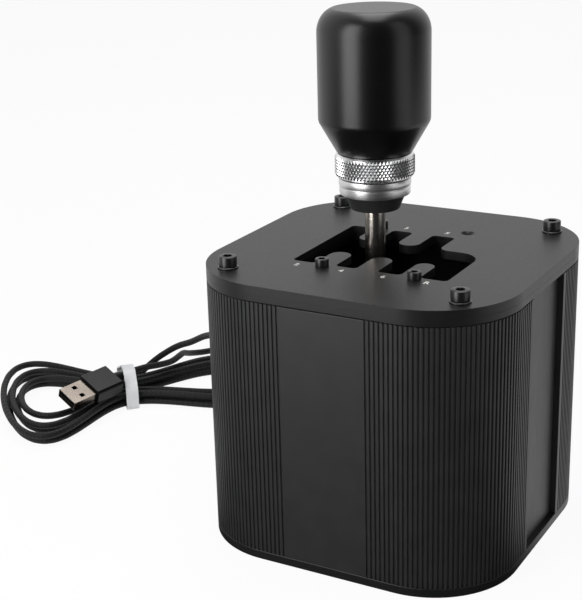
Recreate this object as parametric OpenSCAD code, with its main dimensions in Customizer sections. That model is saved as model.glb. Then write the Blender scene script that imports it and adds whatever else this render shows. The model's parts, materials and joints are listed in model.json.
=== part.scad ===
// Gated gear shifter for sim racing: a ribbed metal case, a gate plate, a gimballed lever and a USB lead.
// Millimetres. The origin is the centre of the case's underside, +Z is up and the front faces -Y.

/* [Case] */
// Width of the case, side to side
case_w = 127; // [120:1:140]
// Depth of the case, front to back
case_d = 126; // [120:1:140]
// Radius of the case's upright corners
corner_r = 35; // [30:1:40]
// Thickness of the bottom plate
base_t = 3.5; // [3:0.5:5]
// Height of the two ribbed shells
shell_h = 102.5; // [95:0.5:110]
// Thickness of the shell walls
wall = 3; // [2.5:0.5:4]
// Thickness of the frame plate under the gate plate
frame_t = 3; // [2:0.5:5]
// Thickness of the gate plate
plate_t = 3.5; // [2.5:0.5:5]

/* [Ribs] */
// Distance from rib to rib round the shells
rib_pitch = 1.85; // [1.6:0.05:2.4]
// Width of the groove between two ribs
groove_w = 0.8; // [0.5:0.1:1]
// Depth of the grooves
groove_depth = 0.6; // [0.3:0.1:0.9]
// Width of the plain band in the middle of each shell
band_w = 35; // [30:1:45]

/* [Side panels] */
// Width of the opening that shows each side panel
opening_w = 33; // [28:1:40]
// How far the side panels lie behind the case's side
panel_recess = 2.5; // [2:0.1:3]
// Thickness of the side panels
panel_t = 2.5; // [2:0.5:3]
// How far the panel's edges reach into the shells' grooves
panel_grip = 3.5; // [2:0.5:5]
// Thickness of the lip behind the panel's edge
panel_lip = 1.5; // [1:0.5:3]

/* [Screws] */
// Distance between the corner screws, both ways
corner_pitch = 95; // [88:1:97]
// Diameter of the corner bosses inside the shells
boss_d = 10; // [9:0.5:12]
// Width of the webs between these bosses and the wall
web_w = 6; // [4:0.5:8]
// Thread diameter of the corner screws and base screws
m_corner = 4; // [3:0.5:5]
// Height of the washers under the corner screws
washer_t = 0.7; // [0.5:0.1:1]
// Thread diameter of the small screws
m_small = 3; // [2.5:0.5:3.5]
// Gap between a screw and its hole, on the radius
screw_fit = 0.05; // [0.03:0.01:0.1]
// Distance between the tapped holes for fastening the base, both ways
mount_pitch = 70; // [60:1:76]
// Core diameter of those tapped holes
mount_hole_d = 5; // [4:0.5:6]

/* [Gate] */
// Distance between two columns of the gate
column_pitch = 18; // [17:0.5:19]
// Place of the second column, where the lever rests, across the case
rest_x = -7; // [-9:0.5:-5]
// Place of the neutral channel, front to back
neutral_y = -3; // [-5:0.5:0]
// Width of the neutral channel
channel_w = 18; // [16:0.5:20]
// Radius in the corners of the slots
slot_r = 2; // [1:0.5:3]
// Room between the lever and the walls of the gate
gate_clear = 0.4; // [0.35:0.05:0.8]
// Room between the lever and the end of the slot in the farthest column
end_room = 2.6; // [2:0.1:3.2]

/* [Lever] */
// Height of the lever's pivot above the underside of the case
pivot_z = 20; // [18:0.5:24]
// Swing of the lever to each side of neutral, front and back, in degrees
shift_angle = 11; // [9.5:0.5:11.5]
// Diameter of the lever's shaft
shaft_d = 8; // [7:0.5:8.5]
// Diameter of the pivot pins
pin_d = 5; // [4:0.5:6]
// Gap between a turning pin and its bore, on the radius
run_fit = 0.05; // [0.02:0.01:0.1]
// Height of the cone's lower end above the gate plate
cone_up = 17; // [16:0.5:22]
// Height of the black cone
cone_h = 5.9; // [4:0.1:8]
// Height of the silver collar
collar_h = 6.5; // [5.5:0.1:9]
// Diameter of the silver collar
collar_d = 28; // [24:0.5:30]
// Gap between the collar and the lock ring
neck_h = 0.3; // [0.2:0.1:2]

/* [Knob] */
// Diameter of the knurled lock ring
ring_d = 31; // [28:0.5:34]
// Height of the knurled lock ring
ring_h = 9.3; // [7:0.1:12]
// Diameter of the knob
knob_d = 43; // [38:0.5:48]
// Diameter of the knob at its lower end
knob_foot_d = 29.5; // [27:0.5:33]
// Diameter of the knob's flat top
knob_top_d = 31.5; // [26:0.5:36]
// Height of the knob's lower taper
knob_taper_h = 12; // [8:0.5:16]
// Height of the knob's straight side
knob_side_h = 33.5; // [25:0.5:45]
// Height of the knob's rounded shoulder
knob_shoulder_h = 8.9; // [6:0.1:12]
// Outer diameter of the threaded sleeve inside the knob
stud_d = 12; // [11:0.5:14]

/* [Pivot] */
// Width of the gimbal frame, side to side
cradle_w = 28; // [26:1:32]
// Length of the gimbal frame, front to back
cradle_l = 42; // [40:1:46]
// Height of the gimbal frame
cradle_h = 12; // [10:0.5:12]
// Wall of the gimbal frame
cradle_wall = 4; // [3:0.5:5]
// Thickness of the two upright pivot brackets
bracket_t = 5; // [4:0.5:7]
// Width of the pivot brackets
bracket_w = 26; // [24:1:32]
// Outer diameter of the bronze bushes
bush_d = 8; // [7.5:0.5:10]
// Radius of the detent sector
sector_r = 20; // [18:0.5:22]

/* [Electronics] */
// Width of the controller board
board_w = 25; // [20:1:27]
// Length of the controller board
board_l = 40; // [34:1:46]
// Height of the board's standoffs
standoff_h = 5; // [4:0.5:8]
// Thickness of the circuit boards
board_t = 1.6; // [1:0.1:2]
// Travel of the reset button
button_travel = 0.3; // [0.2:0.05:0.4]

/* [Lead] */
// Diameter of the braided lead
cord_d = 3.2; // [3:0.1:3.4]
// Height of the lead's outlet above the underside of the case
gland_z = 58; // [50:1:66]
// Length of the rubber boot outside the panel
boot_l = 14; // [10:1:18]

/* [Hidden] */
$fn = 64;

// Heights of the case's layers
shell_z = base_t;
frame_z = shell_z + shell_h;
plate_z = frame_z + frame_t;
top_z = plate_z + plate_t;
screw_at = corner_pitch / 2;
corners = [[-1, -1], [1, -1], [1, 1], [-1, 1]];

// Screw sizes that follow from the thread
function head_d(m) = 1.75 * m;
function head_h(m) = m;
function key_w(m) = 0.8 * m;
corner_screw_l = 16;
gate_screw_l = plate_t + frame_t - 0.5;
washer_rim = 0.8;
flat_head_d = 2 * m_corner;
flat_head_h = (flat_head_d - m_corner) / 2;
base_screw_l = 14;

// Gate columns, counted from the left, and the lever's angle in each
arm = top_z - plate_t / 2 - pivot_z;
function column_x(c) = rest_x + c * column_pitch;
function column_angle(c) = atan(c * column_pitch / arm);
function slot_half(c) = shaft_d / 2 / cos(column_angle(c)) + plate_t / 2 * tan(abs(column_angle(c)))
    + gate_clear;
slot_reach = (arm + plate_t / 2) * tan(shift_angle) / cos(column_angle(2)) + shaft_d / 2 / cos(shift_angle)
    + end_room;
function tooth_half(c) = (column_pitch - slot_half(c) - slot_half(c + 1)) / 2;
function tooth_x(c) = column_x(c) + slot_half(c) + tooth_half(c);
gate_land = 0.6;
spare_land = 7.1;
right_screw_shift = 2.8;
back_screw_shift = -2;
spare_hole_shift = -2.2;
gate_left = slot_left(-1);
gate_right = slot_right(2);
gate_front = neutral_y - slot_reach;
gate_back = neutral_y + slot_reach;
gate_screw_y = gate_front - m_small / 2 - gate_land;
back_screw_y = gate_back + m_small / 2 + gate_land;
gate_screw_at = [[tooth_x(-1), gate_screw_y], [tooth_x(1) + right_screw_shift, gate_screw_y],
    [tooth_x(-1) + back_screw_shift, back_screw_y]];
spare_hole_at = [tooth_x(1) + spare_hole_shift, gate_back + m_small / 2 + spare_land];
spare_hole_d = m_small + 0.4;
spare_sink = 1.2;
frame_room = 1;
frame_room_y = 0.1;

// Side panels
panel_out = case_w / 2 - panel_recess;
panel_in = panel_out - panel_t;
panel_fit = 0.1;
panel_edge = opening_w / 2 + panel_grip;

// Gimbal
bush_flange = 1;
end_float = 0.5;
bracket_in = cradle_l / 2 + bush_flange + end_float;
bracket_out = bracket_in + bracket_t;
bracket_up = 18;
foot_l = 11;
foot_t = 4;
foot_screw_side = 5;
foot_screw_end = 4.5;
foot_screw_x = bracket_w / 2 - foot_screw_side;
foot_screw_y = bracket_out + foot_l - foot_screw_end;
block_w = cradle_w - 2 * cradle_wall - 1;
block_d = 14;
block_up = 16;
block_down = 5;
magnet_d = 6;
magnet_h = 3;
magnet_low = 10.5;
sector_x = cradle_w / 2 + 0.5;
sector_t = 3;
sector_rim = 4;
notch_depth = 2;
post_l = 6;
post_y = cradle_l / 2 - post_l;
post_w = 8;
leaf_hole_depth = 6;
leaf_up = sector_r + 4;
leaf_t = 0.6;
spring_wire = 1.2;
spring_r = 5;
spring_turns = 4;
spring_pitch = 1.5;
spring_y = bracket_out + 1.4;
leg_x = 2.7;
stud_up = 14;
stud_d_fixed = 4;
finger_up = 9.5;
finger_d = 3;
arm_y = spring_y + spring_turns * spring_pitch + 1.4;
arm_t = 2.5;
arm_w = 5;
arm_rim = 2.5;

// Boards
spacer_h = 2;
sensor_w = 16;
sensor_l = 30;
sensor_t = 1.2;
sensor_z = base_t + spacer_h;
m_board = 2;
sensor_screw_y = sensor_l / 2 - 3;
board_room = 3.5;
board_x = board_room + board_w / 2 - panel_in;
blind_depth = 2.5;
fixing_d = 5;
hall_w = 5;
hall_t = 1;
chip_w = 10;
chip_t = 1.2;
chip_at = [board_x - 3, -4];
switch_w = 6;
board_z = base_t + standoff_h;
board_top = board_z + board_t;
board_hole_x = board_w / 2 - 3;
board_hole_y = board_l / 2 - 3;
switch_x = 7;
switch_y = -10;
switch_at = [board_x + switch_x, switch_y];
switch_h = 2.4;
switch_floor = 0.5;
button_gap = 0.35;
button_d = 3;
header_w = 8;
header_at = [board_x - 4, 9];
header_h = 6;
plug_w = 6;
plug_l = 8;
plug_edge = 1;
plug_at = [board_x + board_w / 2 - plug_w / 2 - plug_edge, 4];
plug_h = 4;
ribbon_w = 6;
ribbon_t = 0.6;

// Lever stack
cone_z = top_z + cone_up;
collar_z = cone_z + cone_h;
ring_z = collar_z + collar_h + neck_h;
knob_gap = 0.3;
knob_z = ring_z + ring_h + knob_gap;
knob_top = knob_z + knob_taper_h + knob_side_h + knob_shoulder_h;
cone_low_d = 19.4;
cone_top_d = 23.7;
collar_band_h = 3.4;
collar_step = 0.25;
collar_ease = 0.5;
sleeve_seat = 2.8;
stud_in = 19;
stud_top = knob_z + stud_in;
insert_d = 18;
insert_h = 20;

// The lead: route in the hank's own frame (along it, across it, height), then in the case's frame
hank_at = [-169, 46];
hank_turn = 44;
hank_turns = 2;
hank_end = 2 * hank_turns + 0.75;
hank_rings = 24;
core_k = 0.6;
climb_dip = 0.3;
strand_step = 4.8;
reach_step = 4.2;
layer_step = 4;
waist_lift = 1;
left_reach = 50;
right_reach = 60;
end_round = 0.2;
left_swell = 45;
left_swell_k = 22;
right_swell = 32;
right_swell_k = 10;
floor_gap = 0.05;
tie_w = 6;
tie_t = 0.9;
tie_left = -14.9;
tie_right = 17.3;
tie_left_h = 11;
tie_right_h = 9.5;
tie_peak = [-9, -2];
tie_top = 18.1;
tie_bend = 2.4;
bend_steps = 4;
plug_rear = [-4, -8, 15.8];
plug_dir = [-0.85, -0.5, -0.06];
plug_roll = -22;
grip_neck = 5;
grip_l = 15;
grip_w = 15;
grip_t = 7.6;
usb_w = 12;
usb_t = 4.5;
usb_l = 13.5;
usb_wall = 0.4;
usb_hidden = 6;
tongue_t = 1.8;
latch_at = [6.65, 3];
latch_w = 2.2;
contact_t = 0.2;
tail_route = [[10, 0, 15.6], [17, 4.5, 14.2], [24, 11, 12.6], [30, 20, 11.6], [34, 30, 9], [39, 39, 5],
    [46, 45, 2.4], [54, 47, 1.7], [62, 43, 1.7], [68, 35, 1.7], [70.5, 26, 1.7]];
lead_route_hank = [[9.5, 15, 7.4], [13, 16.6, 9.4], [17.5, 16, 13], [22, 13, 17], [27, 8, 21.5]];
lead_route_case = [[-144, 67, 27], [-133, 61, 33.5], [-122, 52, 39.5], [-112, 41, 46], [-103, 28, 51.5],
    [-95, 16, 55.5], [-88, 6, 57.5]];
gland_d = 8;
gland_flange_d = 13;
boot_flange_t = 2.5;
boot_tip_wall = 1.2;
gland_in = 6;
nut_w = 13;
nut_t = 3.5;
boot_tip_x = -panel_out - boot_flange_t - boot_l;
inner_cord_d = 3;
inner_route = [[-46.5, 1.5, 55.5], [-45, 4, 49], [-45, 6.5, 41], [-45.5, 8, 33], [-46.2, 9, 26]];

function unit(v) = v / norm(v);
function smoothstep(t) = t * t * (3 - 2 * t);
function hank_place(p) = [hank_at.x + p.x * cos(hank_turn) - p.y * sin(hank_turn),
    hank_at.y + p.x * sin(hank_turn) + p.y * cos(hank_turn), p.z];
function hank_k(s) = s < hank_turns ? core_k + hank_turns - s
    : s < hank_turns + 0.5 ? core_k - climb_dip * sin(360 * (s - hank_turns))
    : core_k + s - hank_turns - 0.5;
function hank_layer(s) = s < hank_turns ? 0
    : s < hank_turns + 0.5 ? smoothstep((s - hank_turns) * 2) : 1;
function hank_local(s) = let (
        a = 360 * s,
        k = hank_k(s),
        reach = (cos(a) > 0 ? right_reach : left_reach) + k * reach_step,
        swell = cos(a) > 0 ? right_swell + right_swell_k * k : left_swell + left_swell_k * k
    ) [reach * cos(a) * (1 - end_round * pow(sin(a), 2)),
        -sin(a) * (k * strand_step + swell * pow(cos(a), 2)),
        cord_d / 2 + floor_gap + layer_step * hank_layer(s) + waist_lift * pow(sin(a), 4)];

// A smooth curve through points; the first and last stretch stay straight
function curve(p, n) = concat([p[0]],
    [for (i = [1 : len(p) - 3], k = [0 : n - 1]) let (t = k / n)
        0.5 * (2 * p[i] + (p[i + 1] - p[i - 1]) * t
        + (2 * p[i - 1] - 5 * p[i] + 4 * p[i + 1] - p[i + 2]) * t * t
        + (3 * p[i] - p[i - 1] - 3 * p[i + 1] + p[i + 2]) * t * t * t)],
    [p[len(p) - 2], p[len(p) - 1]]);
function length_of(p) = len(p) < 2 ? 0 : [for (i = [1 : len(p) - 1]) norm(p[i] - p[i - 1])]
    * [for (i = [1 : len(p) - 1]) 1];

hank_start = hank_local(0);
hank_stop = hank_local(hank_end);
hank_loops = [for (i = [0 : hank_rings * hank_end]) hank_local(i / hank_rings)];
hank_path = [for (p = concat([hank_start + [0, cord_d, 0]], hank_loops, [hank_stop + [cord_d, 0, 0]]))
    hank_place(p)];
plug_back = -unit(plug_dir);
tail_path = [for (p = curve(concat([plug_rear, plug_rear + 1.25 * cord_d * plug_back], tail_route,
    [hank_start + [0, 3 * cord_d, 0], hank_start + [0, cord_d, 0]]), 2)) hank_place(p)];
lead_path = curve(concat(
    [for (p = concat([hank_stop + [cord_d, 0, 0], hank_stop + [2 * cord_d, 0, 0]], lead_route_hank))
        hank_place(p)],
    lead_route_case, [[boot_tip_x - 1.5 * cord_d, 0, gland_z], [boot_tip_x, 0, gland_z]]), 2);
inner_start = [gland_in - panel_in, 0, gland_z];
inner_stop = [header_at.x, header_at.y, board_top + header_h];
inner_path = curve(concat([inner_start, inner_start + [inner_cord_d, 0, 0]], inner_route,
    [inner_stop + [0, 0, inner_cord_d], inner_stop]), 2);

// Least gap between two strands of the hank, and the length of the lead
gap_rings = 48;
gap_points = [for (i = [0 : gap_rings * hank_end]) hank_local(i / gap_rings)];
strand_gap = min([for (i = [0 : len(gap_points) - 1 - gap_rings / 3],
    j = [i + gap_rings / 3 : len(gap_points) - 1]) norm(gap_points[i] - gap_points[j])]) - cord_d;
echo(strand_gap = strand_gap);
echo(lead_mm = length_of(lead_path), hank_mm = length_of(hank_path), tail_mm = length_of(tail_path));
echo(select_min = column_angle(-1), select_max = column_angle(2), knob_top = knob_top);

// Shared shapes
module rounded_square(w, d, r) {
    union() {
        square([w - 2 * r, d], center = true);
        square([w, d - 2 * r], center = true);
        for (c = corners) translate([c.x * (w / 2 - r), c.y * (d / 2 - r)]) circle(r);
    }
}

module slab(w, d, r, h) {
    linear_extrude(h) rounded_square(w, d, r);
}

module cap_screw(m, length) {
    difference() {
        union() {
            cylinder(d = head_d(m), h = head_h(m));
            translate([0, 0, -length]) cylinder(d = m, h = length + 0.1);
        }
        translate([0, 0, head_h(m) / 2]) cylinder(d = key_w(m) / cos(30), h = head_h(m), $fn = 6);
    }
}

module screw_hole(m, length) {
    translate([0, 0, -length]) cylinder(d = m + 2 * screw_fit, h = length + 1);
}

module along_y() {
    rotate([-90, 0, 0]) children();
}

module along_x() {
    rotate([0, 90, 0]) children();
}

module at_corners() {
    for (c = corners) translate([c.x * screw_at, c.y * screw_at]) children();
}

module at_pivot() {
    translate([rest_x, neutral_y, pivot_z]) children();
}

module on_lever() {
    translate([rest_x, neutral_y, 0]) children();
}

function ring_of(c, t, r, n, ref) = let (s = unit(cross(t, ref)), u = cross(s, t))
    [for (k = [0 : n - 1]) c + r * (cos(360 * k / n) * s + sin(360 * k / n) * u)];
function way(p, i) = unit(p[min(i + 1, len(p) - 1)] - p[max(i - 1, 0)]);

module tube(path, d, n, ref = [0, 0, 1]) {
    m = len(path);
    points = [for (i = [0 : m - 1]) each ring_of(path[i], way(path, i), d / 2, n, ref)];
    sides = [for (i = [0 : m - 2], k = [0 : n - 1]) let (a = i * n + k, b = i * n + (k + 1) % n)
        each [[a, b, a + n], [b, b + n, a + n]]];
    low_cap = [for (k = [1 : n - 2]) [0, k + 1, k]];
    high_cap = [for (k = [1 : n - 2]) [(m - 1) * n, (m - 1) * n + k, (m - 1) * n + k + 1]];
    polyhedron(points, concat(sides, low_cap, high_cap), convexity = 10);
}

// Ribbed shells: one half of the outline runs from the plain band round the corner to the panel opening
flat_run = case_w / 2 - corner_r - band_w / 2;
arc_run = corner_r * PI / 2;
half_run = flat_run + arc_run + case_d / 2 - corner_r - opening_w / 2;
function rim(t, inset) = t < flat_run ? [band_w / 2 + t, -case_d / 2 + inset]
    : t < flat_run + arc_run ? let (a = (t - flat_run) / corner_r * 180 / PI)
        [case_w / 2 - corner_r + (corner_r - inset) * sin(a),
            -case_d / 2 + corner_r - (corner_r - inset) * cos(a)]
    : [case_w / 2 - inset, -case_d / 2 + corner_r + t - flat_run - arc_run];
rib_count = floor((half_run - groove_w) / rib_pitch);
half_rim = concat([for (i = [0 : rib_count - 1]) let (t = i * rib_pitch)
        each [rim(t, 0), rim(t, groove_depth), rim(t + groove_w, groove_depth), rim(t + groove_w, 0)]],
    [[case_w / 2, -opening_w / 2]]);
shell_rim = concat(half_rim, [for (i = [len(half_rim) - 1 : -1 : 0]) [-half_rim[i].x, half_rim[i].y]]);

// From the centre of the corner's arc to its boss
boss_way = [screw_at - case_w / 2 + corner_r, case_d / 2 - corner_r - screw_at];
panel_seat = (panel_out + panel_in - panel_fit) / 2;

module boss_web() {
    translate([case_w / 2 - corner_r, corner_r - case_d / 2]) rotate(atan2(boss_way.y, boss_way.x))
        translate([norm(boss_way), -web_w / 2]) square([corner_r - wall / 2 - norm(boss_way), web_w]);
}

module shell_room() {
    difference() {
        rounded_square(case_w - 2 * wall, case_d - 2 * wall, corner_r - wall);
        boss_web();
        mirror([1, 0]) boss_web();
        for (s = [-1, 1]) translate([s * screw_at, -screw_at]) circle(d = boss_d);
    }
}

module shell_outline() {
    difference() {
        union() {
            difference() {
                polygon(shell_rim);
                shell_room();
            }
            for (s = [-1, 1])
                translate([s * (panel_seat - panel_lip / 2), -opening_w / 2 - (panel_grip + wall) / 2])
                    square([panel_t + panel_fit + panel_lip, panel_grip + wall], center = true);
        }
        for (s = [-1, 1]) {
            translate([s * screw_at, -screw_at]) circle(d = m_corner + 2 * screw_fit);
            translate([s * panel_seat, 0])
                square([panel_t + panel_fit, 2 * (panel_edge + panel_fit)], center = true);
        }
    }
}

module front_shell() {
    color("#2a2a2b") translate([0, 0, shell_z]) linear_extrude(shell_h) shell_outline();
}

module rear_shell() {
    color("#2a2a2b") translate([0, 0, shell_z]) linear_extrude(shell_h) mirror([0, 1]) shell_outline();
}

module side_panel() {
    translate([panel_in, -panel_edge, shell_z]) cube([panel_t, 2 * panel_edge, shell_h]);
}

module right_panel() {
    color("#3a3a3b") side_panel();
}

module left_panel() {
    color("#3a3a3b") difference() {
        mirror([1, 0, 0]) side_panel();
        translate([-panel_out - 1, 0, gland_z]) along_x()
            cylinder(d = gland_d + 2 * screw_fit, h = panel_t + 2);
    }
}

module bottom_plate() {
    color("#242425") difference() {
        slab(case_w, case_d, corner_r, base_t);
        at_corners() {
            translate([0, 0, -1]) cylinder(d = m_corner + 2 * screw_fit, h = base_t + 2);
            cylinder(d1 = flat_head_d + 2 * screw_fit, d2 = m_corner + 2 * screw_fit, h = flat_head_h);
        }
        for (c = corners) {
            translate([c.x * mount_pitch / 2, c.y * mount_pitch / 2, -1])
                cylinder(d = mount_hole_d, h = base_t + 2);
            translate([board_x + c.x * board_hole_x, c.y * board_hole_y, base_t - blind_depth])
                cylinder(d = m_board + 2 * screw_fit, h = blind_depth + 1);
        }
        for (s = [-1, 1]) {
            for (x = [-1, 1]) translate([rest_x + x * foot_screw_x, neutral_y + s * foot_screw_y, -1])
                cylinder(d = m_small + 2 * screw_fit, h = base_t + 2);
            translate([rest_x, neutral_y + s * sensor_screw_y, base_t - blind_depth])
                cylinder(d = m_board + 2 * screw_fit, h = blind_depth + 1);
        }
    }
}

// Outline of the gate: along the front slots from the left, round the right end, back along the rear slots
function arc(x, y, r, from, to, n) = [for (i = [0 : n]) let (a = from + (to - from) * i / n)
    [x + r * cos(a), y + r * sin(a)]];
function slot_left(c) = column_x(c) - slot_half(c);
function slot_right(c) = column_x(c) + slot_half(c);
channel_front = neutral_y - channel_w / 2;
channel_back = neutral_y + channel_w / 2;
corner_steps = 6;
tip_steps = 12;
function front_slot(c) = let (y = gate_front + slot_r) concat(
    arc(slot_left(c) + slot_r, y, slot_r, 180, 270, corner_steps),
    arc(slot_right(c) - slot_r, y, slot_r, 270, 360, corner_steps));
function front_tip(c) = arc(tooth_x(c), channel_front - tooth_half(c), tooth_half(c), 180, 0, tip_steps);
function back_slot(c) = let (y = gate_back - slot_r) concat(
    arc(slot_right(c) - slot_r, y, slot_r, 0, 90, corner_steps),
    arc(slot_left(c) + slot_r, y, slot_r, 90, 180, corner_steps));
function back_tip(c, from) = arc(tooth_x(c), channel_back + tooth_half(c), tooth_half(c), from, -180,
    tip_steps);
gate_points = concat(
    front_slot(-1), front_tip(-1), front_slot(0), front_tip(0), front_slot(1), front_tip(1), front_slot(2),
    arc(gate_right - channel_w / 2, neutral_y, channel_w / 2, 0, 90, tip_steps),
    back_tip(1, -90), back_slot(1), back_tip(0, 0), back_slot(0), back_tip(-1, 0), back_slot(-1));

module gate_outline() {
    polygon(gate_points);
}

module top_plate() {
    color("#2c2c2d") translate([0, 0, plate_z]) difference() {
        slab(case_w, case_d, corner_r, plate_t);
        translate([0, 0, -1]) linear_extrude(plate_t + 2) gate_outline();
        at_corners() translate([0, 0, -1]) cylinder(d = m_corner + 2 * screw_fit, h = plate_t + 2);
        for (p = gate_screw_at) translate([p.x, p.y, plate_t]) screw_hole(m_small, plate_t + 1);
        translate([spare_hole_at.x, spare_hole_at.y, -1]) cylinder(d = spare_hole_d, h = plate_t + 2);
        translate([spare_hole_at.x, spare_hole_at.y, plate_t - spare_sink])
            cylinder(d1 = spare_hole_d, d2 = spare_hole_d + 2 * spare_sink, h = spare_sink);
    }
}

module top_frame() {
    color("#262627") translate([0, 0, frame_z]) difference() {
        slab(case_w, case_d, corner_r, frame_t);
        translate([(gate_left + gate_right) / 2, (gate_front + gate_back) / 2, -1])
            slab(gate_right - gate_left + 2 * frame_room, gate_back - gate_front + 2 * frame_room_y, slot_r,
                frame_t + 2);
        at_corners() translate([0, 0, -1]) cylinder(d = m_corner + 2 * screw_fit, h = frame_t + 2);
        for (p = gate_screw_at) translate([p.x, p.y, frame_t]) screw_hole(m_small, frame_t + 1);
    }
}

module corner_screws() {
    color("#1d1d1e") at_corners() translate([0, 0, top_z + washer_t]) cap_screw(m_corner, corner_screw_l);
}

module corner_washers() {
    color("#555555") at_corners() translate([0, 0, top_z]) difference() {
        cylinder(d = head_d(m_corner) + 2 * washer_rim, h = washer_t);
        translate([0, 0, -1]) cylinder(d = m_corner + 2 * screw_fit, h = washer_t + 2);
    }
}

module base_screws() {
    color("#1d1d1e") at_corners() difference() {
        union() {
            cylinder(d1 = flat_head_d, d2 = m_corner, h = flat_head_h);
            cylinder(d = m_corner, h = base_screw_l);
        }
        translate([0, 0, -1]) cylinder(d = key_w(m_corner) * 0.8 / cos(30), h = 2.2, $fn = 6);
    }
}

module gate_screws() {
    color("#1d1d1e") for (p = gate_screw_at) translate([p.x, p.y, top_z]) cap_screw(m_small, gate_screw_l);
}

// Gimbal
module bracket() {
    difference() {
        union() {
            translate([-bracket_w / 2, bracket_in, base_t - pivot_z]) {
                cube([bracket_w, bracket_t, pivot_z + bracket_up - base_t]);
                cube([bracket_w, bracket_t + foot_l, foot_t]);
            }
        }
        translate([0, bracket_in - 1, 0]) along_y() cylinder(d = bush_d, h = bracket_t + 2);
        for (s = [-1, 1]) translate([s * foot_screw_x, foot_screw_y, base_t - pivot_z + foot_t])
            screw_hole(m_small, foot_t + 1);
    }
}

module front_bracket() {
    color("#8c8f92") at_pivot() mirror([0, 1, 0]) bracket();
}

module rear_bracket() {
    color("#8c8f92") at_pivot() difference() {
        bracket();
        translate([0, bracket_out - 3, stud_up]) along_y() cylinder(d = stud_d_fixed + 2 * screw_fit, h = 4);
    }
}

module bracket_screws() {
    color("#55575a") at_pivot() for (s = [-1, 1], x = [-1, 1])
        translate([x * foot_screw_x, s * foot_screw_y, base_t - pivot_z + foot_t])
            cap_screw(m_small, foot_t + base_t - 1);
}

module bracket_bushes() {
    color("#b08d4c") at_pivot() for (s = [0, 1]) mirror([0, s, 0]) difference() {
        union() {
            translate([0, bracket_in - bush_flange, 0]) along_y() cylinder(d = bush_d + 3, h = bush_flange);
            translate([0, bracket_in - 0.1, 0]) along_y() cylinder(d = bush_d, h = bracket_t + 0.1);
        }
        translate([0, bracket_in - 2, 0]) along_y() cylinder(d = pin_d + 2 * run_fit, h = bracket_t + 4);
    }
}

module cradle_frame() {
    color("#9a9da0") at_pivot() difference() {
        union() {
            difference() {
                cube([cradle_w, cradle_l, cradle_h], center = true);
                cube([cradle_w - 2 * cradle_wall, cradle_l - 2 * cradle_wall, cradle_h + 2], center = true);
            }
            translate([cradle_w / 2 - cradle_wall, post_y, cradle_h / 2 - 1])
                cube([post_w, cradle_l / 2 - post_y, leaf_up - cradle_h / 2 + 1]);
        }
        translate([0, -cradle_l / 2 - 1, 0]) along_y() cylinder(d = pin_d, h = cradle_l + 2);
        translate([-cradle_w / 2 - 1, 0, 0]) along_x() cylinder(d = pin_d + 2 * run_fit, h = cradle_w + 2);
        translate([cradle_w / 2 - cradle_wall + post_w / 2, (post_y + cradle_l / 2) / 2, leaf_up])
            screw_hole(m_board, leaf_hole_depth);
    }
}

module trunnion_pins() {
    color("#c9ccd0") at_pivot() {
        translate([0, cradle_l / 2 - cradle_wall, 0]) along_y()
            cylinder(d = pin_d, h = arm_y + arm_t - cradle_l / 2 + cradle_wall);
        mirror([0, 1, 0]) translate([0, cradle_l / 2 - cradle_wall, 0]) along_y()
            cylinder(d = pin_d, h = bracket_out + 1.5 - cradle_l / 2 + cradle_wall);
    }
}

module spring_arm() {
    color("#9a9da0") at_pivot() translate([0, arm_y, 0]) difference() {
        union() {
            along_y() cylinder(d = pin_d + 2 * arm_rim, h = arm_t);
            translate([-arm_w / 2, 0, 0]) cube([arm_w, arm_t, finger_up]);
            translate([0, 0, finger_up]) along_y() cylinder(d = arm_w, h = arm_t);
            translate([0, spring_y - spring_wire / 2 - arm_y, finger_up]) along_y()
                cylinder(d = finger_d, h = arm_y - spring_y + spring_wire / 2 + 0.1);
        }
        translate([0, -1, 0]) along_y() cylinder(d = pin_d, h = arm_t + 2);
    }
}

module spring_stud() {
    color("#c9ccd0") at_pivot() translate([0, bracket_out - 3, stud_up]) along_y()
        cylinder(d = stud_d_fixed, h = 3 + arm_y - bracket_out - 0.5);
}

// The spring winds round the rear pin; its two legs rise on either side of the stud and the finger
spring_steps = 8;
spring_path = let (
        first = acos(leg_x / spring_r),
        sweep = 360 * spring_turns + 180 + 2 * first,
        n = spring_steps * (spring_turns + 1)
    ) concat(
        [[leg_x, spring_y, stud_up + 3]],
        [for (i = [0 : n]) let (a = first - sweep * i / n)
            [spring_r * cos(a), spring_y + spring_pitch * spring_turns * i / n, spring_r * sin(a)]],
        [[-leg_x, spring_y + spring_pitch * spring_turns, stud_up + 3]]);

module centring_spring() {
    color("#b9bcc0") at_pivot() tube(spring_path, spring_wire, 6, [0, 1, 0]);
}

module detent_spring() {
    nose = sector_r - notch_depth + 0.3;
    lift = leaf_up - nose;
    color("#d0d2d4") at_pivot() difference() {
        translate([cradle_w / 2 - cradle_wall, 0, 0]) along_x() rotate([0, 0, 90]) linear_extrude(post_w)
            polygon([[cradle_l / 2, leaf_up], [cradle_l / 2, leaf_up + leaf_t],
                [-lift * 0.5 - 3, leaf_up + leaf_t], [-lift * 0.5 - 3, leaf_up], [-lift * 0.5, leaf_up],
                [0, nose], [lift * 0.5, leaf_up]]);
        translate([cradle_w / 2 - cradle_wall + post_w / 2, (post_y + cradle_l / 2) / 2, leaf_up + leaf_t])
            screw_hole(m_board, 2);
    }
}

module detent_screw() {
    color("#55575a") at_pivot()
        translate([cradle_w / 2 - cradle_wall + post_w / 2, (post_y + cradle_l / 2) / 2, leaf_up + leaf_t])
        cap_screw(m_board, 5);
}

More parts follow.
